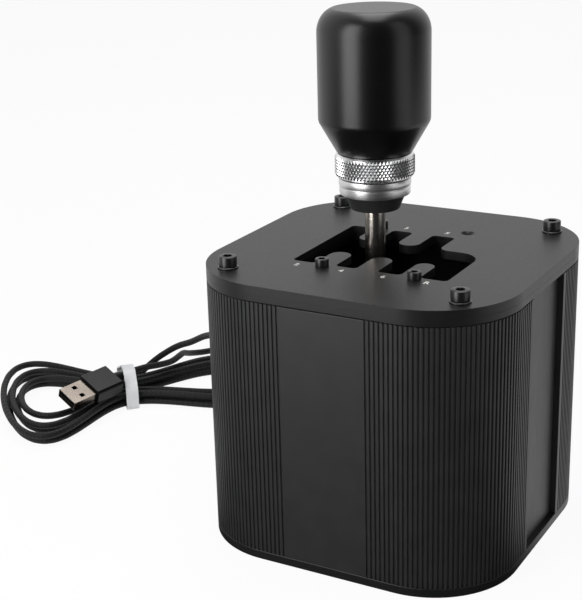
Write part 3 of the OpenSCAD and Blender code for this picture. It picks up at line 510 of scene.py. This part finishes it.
@dataclass
class Assembly:
    """Base of the sub-assemblies: holds the frame and dresses pieces.

    Attributes:
        nodes: Solids of the frame by name.
    """

    nodes: dict[str, Piece]

    def dress(self, piece: Piece, slot: str, body: Body, *solids: str) -> Piece:
        """Gives a piece its finish, its body and the solids that it stands for.

        Args:
            piece: Piece to dress.
            slot: Material slot of the record.
            body: Body that it rides on.
            *solids: Solids of the frame that it replaces.

        Returns:
            The same piece.
        """
        piece.data.materials.clear()
        piece.data.materials.append(FINISHES[slot].material())
        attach(piece, body.value)
        if solids:
            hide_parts(*solids)
        LOG.info("%s rides on %s", piece.name, body.value)
        return piece

    def refined(self, solid: str, slot: str, width: float, segments: int = 2) -> Piece:
        """Replaces a solid on the case by a copy of itself with eased edges.

        Args:
            solid: Solid of the frame.
            slot: Material slot of the record.
            width: Width of the rounding.
            segments: Steps of the rounding.

        Returns:
            The refined piece.
        """
        piece = eased(bench_copy(self.nodes[solid], f"{solid}_eased"), width, segments)
        return self.dress(piece, slot, Body.CASE, solid)


@dataclass(frozen=True)
class Softbox:
    """One soft lamp of the studio.

    Attributes:
        name: Name of the lamp.
        place: Where its middle is.
        size: Width and height.
        power: Power in watts.
        aim: Point that it faces.
    """

    name: str
    place: Point
    size: Point
    power: float
    aim: Point = (0.0, 0.0, 0.1)

    def hang(self) -> None:
        """Hangs the lamp where the camera doesn't see it."""
        clear_selection()
        bpy.ops.object.light_add(type="AREA", location=self.place)
        lamp = bpy.context.object
        lamp.name = self.name
        lamp.data.shape = "RECTANGLE"
        lamp.data.size, lamp.data.size_y = self.size
        lamp.data.energy = self.power
        lamp.rotation_euler = (Vector(self.aim) - Vector(self.place)).to_track_quat("-Z", "Y").to_euler()
        lamp.visible_camera = False


@dataclass
class Studio:
    """Camera, floor, world and lamps.

    Attributes:
        place: Place of the camera.
        right: Its right-hand direction.
        up: Its upward direction.
        lens: Focal length in millimetres on a 36 mm sensor.
        floor_size: Side of the floor.
        front: Direction from the object to the unlit front of the studio.
        near_front: The same direction close to the object, where the white floor comes further round.
        near: Distance up to which the floor counts as close, and the one from which it doesn't.
        fade: Cosines of the angle to the front at which the mirrored white begins to fade and is gone.
        near_fade: The same close to the object.
        backdrop: Brightness of the white behind the object, as gloss mirrors it.
        unlit: Brightness of the front, as gloss mirrors it.
        fill: Brightness of the soft light from all round.
        glow: Share of even white in the floor that the camera sees; the rest keeps the shadow.
        lamps: The softboxes.
    """

    place: Point = (0.2260, -0.4786, 0.2753)
    right: Point = (0.87247, 0.48790, -0.02693)
    up: Point = (-0.13761, 0.29820, 0.94451)
    lens: float = 84.5
    floor_size: float = 12.0
    front: Point = (0.719, -0.695, 0.0)
    near_front: Point = (0.174, -0.985, 0.0)
    near: Point = (0.55, 1.0)
    fade: Point = (-0.6, 0.4)
    near_fade: Point = (-0.17, 0.64)
    backdrop: float = 0.85
    unlit: float = 0.03
    fill: float = 0.3
    glow: float = 0.93
    lamps: Sequence[Softbox] = (
        Softbox("left_strip", (-0.19, -0.465, 0.33), (0.28, 0.66), 2.5, (0.0, 0.0, 0.33)),
        Softbox("right_strip", (0.52, -0.05, 0.45), (0.3, 0.9), 0.7, (0.0, 0.0, 0.45)),
        Softbox("top_softbox", (-0.08, 0.17, 1.2), (0.5, 1.2), 6.6))

    def camera(self) -> None:
        """Sets the camera at the photograph's viewing angle."""
        bpy.ops.object.camera_add()
        camera = bpy.context.object
        right, up = Vector(self.right), Vector(self.up)
        turn = Matrix((right, up, right.cross(up))).transposed()
        camera.matrix_world = Matrix.Translation(self.place) @ turn.to_4x4()
        camera.data.lens = self.lens
        camera.data.sensor_width = 36.0
        camera.data.clip_start = 0.01
        camera.name = "camera"
        bpy.context.scene.camera = camera

    def mirrored(self, tree: Tree, front: Point, fade: Point) -> Socket:
        """Adds the brightness that gloss mirrors: white behind the object and unlit in front of it.

        Args:
            tree: Node tree of the floor or the world.
            front: Direction to the unlit front.
            fade: Cosines of the angle to it at which the white begins to fade and is gone.

        Returns:
            The brightness by the direction from the object.
        """
        place = add_node(tree, "ShaderNodeTexCoord")
        way = add_node(tree, "ShaderNodeVectorMath", {"operation": "NORMALIZE"}, {0: place.outputs["Object"]})
        toward = add_node(tree, "ShaderNodeVectorMath", {"operation": "DOT_PRODUCT"}, {
            0: way.outputs["Vector"], 1: front})
        level = add_node(tree, "ShaderNodeMapRange", {"interpolation_type": "SMOOTHSTEP"}, {
            "Value": toward.outputs["Value"], "From Min": fade[0], "From Max": fade[1],
            "To Min": self.backdrop, "To Max": self.unlit})
        return level.outputs["Result"]

    def floor_sheen(self, tree: Tree) -> Socket:
        """Adds the brightness of the floor that gloss mirrors, which comes further round close to the object.

        Args:
            tree: Node tree of the floor.

        Returns:
            The brightness by direction and distance from the object.
        """
        place = add_node(tree, "ShaderNodeTexCoord")
        reach = add_node(tree, "ShaderNodeVectorMath", {"operation": "LENGTH"}, {0: place.outputs["Object"]})
        far = add_node(tree, "ShaderNodeMapRange", {"interpolation_type": "SMOOTHSTEP"}, {
            "Value": reach.outputs["Value"], "From Min": self.near[0], "From Max": self.near[1]})
        blend = add_node(tree, "ShaderNodeMix", {"data_type": "FLOAT"}, {
            "Factor": far.outputs["Result"], "A": self.mirrored(tree, self.near_front, self.near_fade),
            "B": self.mirrored(tree, self.front, self.fade)})
        return blend.outputs["Result"]

    def floor(self) -> None:
        """Lays a pale floor that keeps a faint shadow, and that gloss mirrors as it does the studio."""
        clear_selection()
        bpy.ops.mesh.primitive_plane_add(size=self.floor_size)
        floor = settle(bpy.context.object, "floor")
        made = bpy.data.materials.new("pale_floor")
        made.use_nodes = True
        tree = made.node_tree
        tree.nodes.clear()
        path = add_node(tree, "ShaderNodeLightPath")
        share = add_node(tree, "ShaderNodeMath", {"operation": "MULTIPLY"}, {
            0: path.outputs["Is Camera Ray"], 1: self.glow})
        paint = add_node(tree, "ShaderNodeBsdfDiffuse", {}, {"Color": linear("#f2f2f2")})
        glow = add_node(tree, "ShaderNodeEmission", {}, {"Color": (1, 1, 1, 1), "Strength": 1.0})
        sheen = add_node(tree, "ShaderNodeEmission", {}, {
            "Color": (1, 1, 1, 1), "Strength": self.floor_sheen(tree)})
        seen = add_node(tree, "ShaderNodeMixShader", {}, {
            0: share.outputs["Value"], 1: paint.outputs["BSDF"], 2: glow.outputs["Emission"]})
        mix = add_node(tree, "ShaderNodeMixShader", {}, {
            0: path.outputs["Is Glossy Ray"], 1: seen.outputs["Shader"], 2: sheen.outputs["Emission"]})
        add_node(tree, "ShaderNodeOutputMaterial", {}, {"Surface": mix.outputs["Shader"]})
        floor.data.materials.append(made)

    def world(self) -> None:
        """Makes a white background, with an unlit studio front for what gloss mirrors."""
        world = bpy.data.worlds.new("studio")
        bpy.context.scene.world = world
        world.use_nodes = True
        tree = world.node_tree
        tree.nodes.clear()
        path = add_node(tree, "ShaderNodeLightPath")
        fill = add_node(tree, "ShaderNodeBackground", {}, {"Color": (1, 1, 1, 1), "Strength": self.fill})
        white = add_node(tree, "ShaderNodeBackground", {}, {"Color": (1, 1, 1, 1), "Strength": 1.0})
        mirrored = add_node(tree, "ShaderNodeBackground", {}, {
            "Color": (1, 1, 1, 1), "Strength": self.mirrored(tree, self.front, self.fade)})
        light = add_node(tree, "ShaderNodeMixShader", {}, {
            0: path.outputs["Is Glossy Ray"], 1: fill.outputs["Background"],
            2: mirrored.outputs["Background"]})
        seen = add_node(tree, "ShaderNodeMixShader", {}, {
            0: path.outputs["Is Camera Ray"], 1: light.outputs["Shader"], 2: white.outputs["Background"]})
        add_node(tree, "ShaderNodeOutputWorld", {}, {"Surface": seen.outputs["Shader"]})

    def build(self) -> None:
        """Builds the whole studio."""
        bpy.context.scene.view_settings.view_transform = "Standard"
        self.camera()
        self.floor()
        self.world()
        for lamp in self.lamps:
            lamp.hang()


@dataclass
class Lead(Assembly):
    """The braided lead from the case's left side: lead, hank, tail, tie and USB plug.

    The route repeats the solid's own points, in millimetres. Those near the hank are in the hank's own frame.

    Attributes:
        diameter: Diameter of the lead.
        length: Length of the lead in metres; not used.
        boot_tip: Where the lead leaves its boot.
        hank_at: Middle of the hank on the floor.
        hank_turn: Degrees that the hank is turned.
        hank_turns: Whole turns in each of its two layers.
        loop_points: Points on one turn.
        core_k: Strands from the middle to the innermost turn.
        climb_dip: Strands that the turn between the layers dips inward.
        strand_step: Step between turns at the waist.
        reach_step: Step between turns at the ends.
        layer_step: Rise between the layers.
        waist_lift: Lift of the waist by the tie.
        left_reach: Reach of the left end.
        right_reach: Reach of the right end.
        end_round: How far the ends are drawn in where the loops swell.
        left_swell: Half width of the left loops, and its growth per turn.
        right_swell: The same on the right.
        floor_gap: Gap under the lowest turns.
        plug_rear: Where the lead enters the plug.
        plug_dir: Direction of the plug.
        lead_from_case: Points from the boot on, in the case's frame.
        lead_to_hank: Points from there to the hank's upper end.
        tail_from_hank: Points from the hank's lower end to the plug.
        grip_ease: Rounding of the plug's grip.
        steel_ease: Rounding of its steel shell.
        tie_ease: Rounding of the tie.
    """

    diameter: float = 3.2
    length: float = 1.95
    boot_tip: Point = (-77.5, 0.0, 58.0)
    hank_at: Point = (-169.0, 46.0)
    hank_turn: float = 44.0
    hank_turns: int = 2
    loop_points: int = 48
    core_k: float = 0.6
    climb_dip: float = 0.3
    strand_step: float = 4.8
    reach_step: float = 4.2
    layer_step: float = 4.0
    waist_lift: float = 1.0
    left_reach: float = 50.0
    right_reach: float = 60.0
    end_round: float = 0.2
    left_swell: Point = (45.0, 22.0)
    right_swell: Point = (32.0, 10.0)
    floor_gap: float = 0.05
    plug_rear: Point = (-4.0, -8.0, 15.8)
    plug_dir: Point = (-0.85, -0.5, -0.06)
    lead_from_case: Sequence[Point] = (
        (-88, 6, 57.5), (-95, 16, 55.5), (-103, 28, 51.5), (-112, 41, 46), (-122, 52, 39.5), (-133, 61, 33.5),
        (-144, 67, 27))
    lead_to_hank: Sequence[Point] = (
        (27, 8, 21.5), (22, 13, 17), (17.5, 16, 13), (13, 16.6, 9.4), (9.5, 15, 7.4))
    tail_from_hank: Sequence[Point] = (
        (70.5, 26, 1.7), (68, 35, 1.7), (62, 43, 1.7), (54, 47, 1.7), (46, 45, 2.4), (39, 39, 5), (34, 30, 9),
        (30, 20, 11.6), (24, 11, 12.6), (17, 4.5, 14.2), (10, 0, 15.6))
    grip_ease: float = 1.0 * MM
    steel_ease: float = 0.15 * MM
    tie_ease: float = 0.25 * MM

    def spot(self, point: Point) -> Vector:
        """Moves a point from the hank's own frame to the case's.

        Args:
            point: Point in the hank's frame, in millimetres.

        Returns:
            The point in the case's frame, still in millimetres.
        """
        turn = Matrix.Rotation(math.radians(self.hank_turn), 3, "Z")
        return turn @ Vector(point) + Vector((*self.hank_at, 0.0))

    def loop(self, turn: float) -> Vector:
        """Gives a point of the hank.

        Args:
            turn: Turns along the hank from its lower, outer end.

        Returns:
            The point in the hank's own frame, in millimetres.
        """
        half = self.hank_turns + 0.5
        climb = min(1.0, max(0.0, (turn - self.hank_turns) * 2))
        if turn < self.hank_turns:
            k = self.core_k + self.hank_turns - turn
        elif turn < half:
            k = self.core_k - self.climb_dip * math.sin(math.tau * (turn - self.hank_turns))
        else:
            k = self.core_k + turn - half
        c, s = math.cos(math.tau * turn), math.sin(math.tau * turn)
        reach = (self.right_reach if c > 0 else self.left_reach) + k * self.reach_step
        base, more = self.right_swell if c > 0 else self.left_swell
        rise = self.layer_step * climb * climb * (3 - 2 * climb)
        return Vector((
            reach * c * (1 - self.end_round * s * s), -s * (k * self.strand_step + (base + more * k) * c * c),
            self.diameter / 2 + self.floor_gap + rise + self.waist_lift * s ** 4))

    def route(self) -> list[Vector]:
        """Gives the points of the whole lead, from the boot on the case to the plug.

        Returns:
            Points in metres.
        """
        d = self.diameter
        last = 2 * self.hank_turns + 0.75
        start, stop = self.loop(0.0), self.loop(last)
        tip = Vector(self.boot_tip)
        points = [tip, tip - Vector((1.5 * d, 0, 0))]
        points += [Vector(p) for p in self.lead_from_case]
        points += [self.spot(p) for p in self.lead_to_hank]
        points += [self.spot(stop + Vector((k * d, 0, 0))) for k in (2, 1)]
        count = int(last * self.loop_points)
        points += [self.spot(self.loop(i / self.loop_points)) for i in range(count, -1, -1)]
        points += [self.spot(start + Vector((0, k * d, 0))) for k in (1, 3)]
        points += [self.spot(p) for p in self.tail_from_hank]
        rear = Vector(self.plug_rear)
        back = -Vector(self.plug_dir).normalized()
        points += [self.spot(rear + 1.25 * d * back), self.spot(rear)]
        return [p * MM for p in points]

    def cord(self) -> Piece:
        """Lays the lead as one smooth curve.

        Returns:
            The lead.
        """
        route = self.route()
        curve = bpy.data.curves.new("lead", "CURVE")
        curve.dimensions = "3D"
        curve.bevel_depth = self.diameter / 2 * MM
        curve.bevel_resolution = 5
        curve.resolution_u = 6
        curve.use_fill_caps = True
        spline = curve.splines.new("BEZIER")
        spline.bezier_points.add(len(route) - 1)
        for knot, point in zip(spline.bezier_points, route):
            knot.co = point
            knot.handle_left_type = knot.handle_right_type = "AUTO"
        piece = bpy.data.objects.new("lead", curve)
        bpy.context.scene.collection.objects.link(piece)
        return piece

    def boot(self) -> Piece:
        """Turns the ribbed rubber boot where the lead leaves the case.

        Returns:
            The boot, on the solid's own axis.
        """
        low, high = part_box("strain_relief")
        inner, root = high.x, low.x
        flange_r = (high.z - low.z) / 2
        neck_r, tip_r = 4.0 * MM, 2.8 * MM
        boot_l, flange_t = 14.0 * MM, 2.5 * MM
        back_ease, front_ease = 0.6 * MM, 0.8 * MM
        tip_ease, tip_rise, groove = 0.4 * MM, 0.6 * MM, 0.5 * MM
        base = -root - boot_l - flange_t
        face = base + flange_t
        profile = [(neck_r, -inner), (neck_r, base), (flange_r - back_ease, base),
                   (flange_r, base + back_ease), (flange_r, face - front_ease), (flange_r - front_ease, face),
                   (neck_r, face)]
        # Each rib as shares of its step: its crest first, then the bottom of the groove after it
        ribs, crest, bottom = 6, (0.15, 0.55), (0.68, 0.95)
        step = boot_l / ribs
        for rib in range(ribs):
            radius = neck_r + (tip_r - neck_r) * rib / ribs
            at = face + step * rib
            profile += [(radius, at + share * step) for share in crest]
            profile += [(radius - groove, at + share * step) for share in bottom]
        profile += [(tip_r, -root - tip_rise), (tip_r - tip_ease, -root)]
        piece = turned("boot", profile, segments=48)
        piece.rotation_euler = (0.0, -math.pi / 2, 0.0)
        piece.location = (0.0, (low.y + high.y) / 2, (low.z + high.z) / 2)
        return settle(piece, "boot")

    def build(self) -> None:
        """Builds and dresses the lead and the pieces on it."""
        cord = self.cord()
        self.dress(cord, "braid", Body.CASE, "cord_lead", "cord_hank", "cord_tail")
        boot = self.dress(self.boot(), "rubber", Body.CASE, "strain_relief")
        grip = self.refined("usb_grip", "black_plastic", self.grip_ease, 3)
        shell = self.refined("usb_shell", "plug_steel", self.steel_ease)
        tie = self.refined("hank_tie", "tie", self.tie_ease)


@dataclass
class Case(Assembly):
    """The case: plates, ribbed shells, panels and the screws that show.

    Attributes:
        outline_reach: Distance from the middle, along X or Y, past which only the plates' outlines lie.
        shadow_gap: Chamfer under the frame plate, which shows as a dark line above the shells.
        plate_ease: Rounding of the gate plate and the bottom plate.
        frame_ease: Rounding of the frame plate.
        shell_ease: Rounding of the ribbed shells.
        panel_ease: Rounding of the side panels.
        screw_sets: Solid, thread and length in millimetres of the screws that show.
        apart: Distance under which points belong to one screw or washer.
        mark_height: Height of the gear marks.
        capital: Height of a capital as a share of the size of its type.
        mark_bold: How far the strokes of the gear marks are thickened.
        paint: Thickness of the marks' paint above and below the plate's face.
        marks: Gear marks and where they stand on the gate plate, in millimetres.
    """

    outline_reach: float = 51.0 * MM
    shadow_gap: float = 0.5 * MM
    plate_ease: float = 0.3 * MM
    frame_ease: float = 0.12 * MM
    shell_ease: float = 0.14 * MM
    panel_ease: float = 0.2 * MM
    screw_sets: Sequence[tuple[str, float, float]] = (("corner_screws", 4.0, 16.0), ("gate_screws", 3.0, 6.0))
    apart: float = 12.0 * MM
    mark_height: float = 2.6 * MM
    capital: float = 0.7
    mark_bold: float = 0.08 * MM
    paint: float = 0.02 * MM
    marks: Sequence[tuple[str, float, float]] = (
        ("1", -25.0, 28.0), ("2", -25.4, -33.5), ("3", -7.9, 28.0), ("4", -6.5, -33.5), ("5", 10.2, 28.0),
        ("6", 10.9, -33.5), ("R", 28.4, -33.5))

    def cap_screw(self, name: str, thread: float, length: float) -> Piece:
        """Turns a cap screw with a hex socket, its head standing on the origin.

        Args:
            name: Name of the screw.
            thread: Thread diameter.
            length: Length under the head.

        Returns:
            The screw.
        """
        radius, head_r, key_r = 0.5 * thread, 0.875 * thread, 0.8 * thread / math.sqrt(3)
        tip_r, tip = 0.42 * thread, 0.1 * thread
        ease, soft = 0.09 * thread, 0.027 * thread
        lead_in, lead_in_z = 0.56 * thread, 0.83 * thread
        screw = turned(name, [
            (tip_r, -length), (radius, -length + tip), (radius, 0.0), (head_r - ease / 2, 0.0),
            (head_r, ease / 2), (head_r, thread - ease), (head_r - soft, thread - soft),
            (head_r - ease, thread)], segments=48)
        clear_selection()
        bpy.ops.mesh.primitive_cylinder_add(vertices=6, radius=key_r, depth=thread, location=(0, 0, thread))
        cut(screw, bpy.context.object)
        clear_selection()
        bpy.ops.mesh.primitive_cone_add(
            vertices=48, radius1=0.0, radius2=lead_in, depth=lead_in, location=(0, 0, lead_in_z))
        cut(screw, bpy.context.object)
        return shade(screw)

    def centres(self, solid: str) -> list[Vector]:
        """Finds where the separate pieces of a solid stand, from clusters of its points.

        Args:
            solid: Solid of the frame.

        Returns:
            Centre of each piece, at the height of its top.
        """
        found: list[list[Vector]] = []
        for vertex in self.nodes[solid].data.vertices:
            near = [g for g in found if (g[0].xy - vertex.co.xy).length < self.apart]
            if near:
                near[0].append(vertex.co.copy())
            else:
                found.append([vertex.co.copy()])
        middles = []
        for group in found:
            xs, ys, zs = zip(*group)
            middles.append(Vector(((min(xs) + max(xs)) / 2, (min(ys) + max(ys)) / 2, max(zs))))
        return middles

    def set_out(self, piece: Piece, slot: str, solid: str, height: float) -> None:
        """Dresses a piece and its copies, one for each separate piece of a solid.

        Args:
            piece: Piece that was made at the origin.
            slot: Material slot of the record.
            solid: Solid of the frame that they replace together.
            height: Height of the piece above its origin.
        """
        name = piece.name
        centres = self.centres(solid)
        made = [piece]
        for _ in centres[1:]:
            pick(piece)
            bpy.ops.object.duplicate(linked=False)
            made.append(bpy.context.object)
        for number, (each, centre) in enumerate(zip(made, centres), start=1):
            each.location = centre - Vector((0.0, 0.0, height))
            settle(each, f"{name}_{number}")
            self.dress(each, slot, Body.CASE, *([solid] if number == 1 else []))

    def screws(self) -> None:
        """Makes the corner screws, the gate screws and the washers."""
        for solid, thread, length in self.screw_sets:
            screw = self.cap_screw(solid[:-1], thread * MM, length * MM)
            self.set_out(screw, "black_screw", solid, thread * MM)
        low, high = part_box("corner_washers")
        thick, outer, bore, ease = high.z - low.z, 4.0 * MM, 2.1 * MM, 0.2 * MM
        washer = turned("corner_washer", [
            (outer - ease, 0.0), (outer, ease), (outer, thick - ease), (outer - ease, thick), (bore, thick),
            (bore, 0.0)], segments=48, closed=True)
        self.set_out(washer, "washer", "corner_washers", thick)

    def frame_plate(self) -> None:
        """Dresses the frame plate, with a chamfer under its outline."""
        piece = bench_copy(self.nodes["top_frame"], "top_frame_eased")
        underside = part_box("top_frame")[0].z

        def under_outline(point: Vector) -> bool:
            outline = max(abs(point.x), abs(point.y)) > self.outline_reach
            return outline and point.z < underside + MERGE

        choose_points(piece, under_outline)
        bpy.ops.mesh.bevel(offset=self.shadow_gap, segments=1, affect="EDGES")
        bpy.ops.object.mode_set(mode="OBJECT")
        self.dress(eased(piece, self.frame_ease), "case_plate", Body.CASE, "top_frame")

    def gear_marks(self) -> None:
        """Paints the gear numbers on the gate plate, as thin raised paint."""
        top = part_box("top_plate")[1].z
        for text, x, y in self.marks:
            clear_selection()
            bpy.ops.object.text_add(location=(x * MM, y * MM, top))
            mark = bpy.context.object
            mark.data.body = text
            mark.data.size = self.mark_height / self.capital
            mark.data.align_x = "CENTER"
            mark.data.align_y = "CENTER"
            mark.data.extrude = self.paint
            mark.data.offset = self.mark_bold
            mark.data.resolution_u = 3
            bpy.ops.object.convert(target="MESH")
            self.dress(settle(mark, f"gear_mark_{text}"), "white_plastic", Body.CASE)

    def build(self) -> None:
        """Builds and dresses the case."""
        self.refined("top_plate", "case_plate", self.plate_ease)
        self.frame_plate()
        self.refined("bottom_plate", "case_plate", self.plate_ease)
        for solid in ("front_shell", "rear_shell"):
            self.refined(solid, "case_shell", self.shell_ease, 1)
        for solid in ("left_panel", "right_panel"):
            self.refined(solid, "side_panel", self.panel_ease)
        self.screws()
        self.gear_marks()


@dataclass
class Lever(Assembly):
    """The lever above the gate: shaft, cone and collar.

    Attributes:
        axis: Place of the lever's axis at rest.
        shaft_r: Radius of the shaft.
        ease: Rounding at the ends of the shaft and under the collar.
    """

    axis: Point = field(init=False)
    shaft_r: float = field(init=False)
    ease: float = 0.5 * MM

    def __post_init__(self) -> None:
        """Finds the lever's axis and radius from its shaft."""
        low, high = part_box("lever_shaft")
        self.axis = ((low.x + high.x) / 2, (low.y + high.y) / 2)
        self.shaft_r = (high.x - low.x) / 2

    def shaft(self) -> Piece:
        """Turns the shaft.

        Returns:
            The shaft.
        """
        low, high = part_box("lever_shaft")
        r, ease = self.shaft_r, self.ease
        return turned("shaft", [
            (r - ease, low.z), (r, low.z + ease), (r, high.z - ease), (r - ease, high.z)], self.axis, 64)

    def cone(self) -> Piece:
        """Turns the black cone under the collar.

        Returns:
            The cone.
        """
        low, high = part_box("shaft_cone")
        top_r = (high.x - low.x) / 2
        flare, round_r, lip = 2.15 * MM, 0.25 * MM, 0.1 * MM
        foot_r = top_r - flare - round_r
        rounded = arc((foot_r, low.z + round_r), (round_r, round_r), -80, -12, 4)
        return turned("cone", [
            (self.shaft_r, low.z), (foot_r, low.z), *rounded, (top_r - lip, high.z - 4 * lip),
            (top_r - 2 * lip, high.z), (self.shaft_r, high.z)], self.axis, 96, closed=True)

    def collar(self) -> Piece:
        """Turns the silver collar: a lower band, a groove, and a slightly wider upper band.

        Returns:
            The collar.
        """
        low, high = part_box("shaft_collar")
        upper_r = (high.x - low.x) / 2
        lower_r, bore = upper_r - 0.25 * MM, 6.0 * MM
        groove, seat = low.z + 3.4 * MM, low.z + 2.8 * MM
        ease, soft = self.ease, 0.2 * MM
        groove_r, cut_off = lower_r - 1.5 * soft, 0.3
        return turned("collar", [
            (self.shaft_r, low.z), (lower_r - ease, low.z),
            (lower_r - cut_off * ease, low.z + cut_off * ease), (lower_r, low.z + ease),
            (lower_r, groove - 2 * soft), (groove_r, groove - 0.5 * soft), (groove_r, groove),
            (upper_r - cut_off * soft, groove + 1.5 * soft), (upper_r, groove + 2 * soft),
            (upper_r, high.z - soft), (upper_r - cut_off * soft, high.z - cut_off * soft),
            (upper_r - soft, high.z), (bore, high.z), (bore, seat), (self.shaft_r, seat)],
            self.axis, 128, closed=True)

    def build(self) -> None:
        """Builds and dresses the lever."""
        self.dress(self.shaft(), "shaft_steel", Body.LEVER, "lever_shaft")
        self.dress(self.cone(), "cone", Body.LEVER, "shaft_cone")
        self.dress(self.collar(), "collar", Body.LEVER, "shaft_collar")


@dataclass
class Knob(Lever):
    """The knob and its knurled lock ring.

    Attributes:
        diamonds: Diamonds of the knurl round the ring.
        rows: Rings of points of the knurl, from one plain edge to the other.
        knurl_depth: Depth of the knurl.
    """

    diamonds: int = 68
    rows: int = 8
    knurl_depth: float = 0.55 * MM

    def ring(self) -> Piece:
        """Turns the lock ring and raises every second point of its side into a diamond knurl.

        Returns:
            The ring.
        """
        low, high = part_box("lock_ring")
        r = (high.x - low.x) / 2
        valley, bore, bevel = r - self.knurl_depth, 6.05 * MM, 1.2 * MM
        first, last = low.z + bevel - self.knurl_depth, high.z - bevel + self.knurl_depth
        levels = [first + (last - first) * i / (self.rows - 1) for i in range(self.rows)]
        edge = r - bevel
        profile = [(bore, low.z), (edge, low.z), (valley, first), *((valley, z) for z in levels[1:-1]),
                   (valley, last), (edge, high.z), (bore, high.z)]
        piece = turned("lock_ring_knurled", profile, self.axis, 2 * self.diamonds, closed=True)
        step = math.tau / (2 * self.diamonds)

        def tip_of_diamond(point: Vector) -> bool:
            out = point.xy - Vector(self.axis)
            row = round((point.z - first) / (last - first) * (self.rows - 1))
            on_side = 0 < row < self.rows - 1 and out.length > 1.5 * bore
            column = round(math.atan2(out.y, out.x) / step)
            return on_side and (row + column) % 2 == 1

        choose_points(piece, tip_of_diamond)
        ratio = r / valley
        bpy.ops.transform.resize(value=(ratio, ratio, 1), center_override=(*self.axis, low.z))
        bpy.ops.mesh.select_all(action="SELECT")
        bpy.ops.mesh.quads_convert_to_tris(quad_method="SHORTEST_DIAGONAL")
        bpy.ops.object.mode_set(mode="OBJECT")
        return shade(piece, degrees=12.0)

    def handle(self) -> Piece:
        """Turns the knob: a taper, a straight side and a rounded shoulder under a flat top.

        Returns:
            The knob.
        """
        low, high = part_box("knob")
        r = (high.x - low.x) / 2
        foot, top, bore, middle = 14.75 * MM, 15.75 * MM, 9.0 * MM, 0.05 * MM
        taper, shoulder, hole, ease = 12.0 * MM, 8.9 * MM, 20.0 * MM, 0.5 * MM
        knee = low.z + taper
        # Soft bend from the taper into the side, in millimetres in from the side and up from the knee
        bend = [(r - inset * MM, knee + rise * MM)
                for inset, rise in ((0.75, -1.1), (0.28, -0.25), (0.05, 0.6), (0.0, 1.4))]
        # The shoulder is part of an ellipse, which meets the flat top at an angle
        sweep = 75.0
        width = (r - top) / (1 - math.cos(math.radians(sweep)))
        height = shoulder / math.sin(math.radians(sweep))
        round_side = arc((r - width, high.z - shoulder), (width, height), 0.0, sweep, 20)
        profile = [(middle, low.z + hole), (bore, low.z + hole), (bore, low.z), (foot - ease, low.z),
                   (foot, low.z + 0.8 * ease), *bend, *round_side, (top - ease, high.z)]
        return turned("knob_turned", profile, self.axis, 160)

    def build(self) -> None:
        """Builds and dresses the knob and its ring."""
        self.dress(self.ring(), "ring", Body.RING, "lock_ring")
        self.dress(self.handle(), "knob", Body.KNOB, "knob")


@dataclass
class Works(Assembly):
    """Everything that keeps its solid: the gimbal, springs, boards and fixings inside."""

    def build(self, subparts: Iterable[dict[str, str]]) -> None:
        """Gives each solid of the frame the finish of its slot.

        Args:
            subparts: Entries of the record, each with a node and its material slot.
        """
        for entry in subparts:
            node = self.nodes[entry["node"]]
            node.data.materials.clear()
            node.data.materials.append(FINISHES[entry["material_slot"]].material())


def main() -> None:
    """Builds the studio and the sub-assemblies in order."""
    logging.basicConfig(level=logging.INFO, format="%(name)s: %(message)s")
    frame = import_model()
    nodes = frame["nodes"]
    Studio().build()
    Lead(nodes).build()
    Works(nodes).build(frame["record"]["subparts"])
    Case(nodes).build()
    Lever(nodes).build()
    Knob(nodes).build()
    clear_selection()


if __name__ == "__main__":
    main()
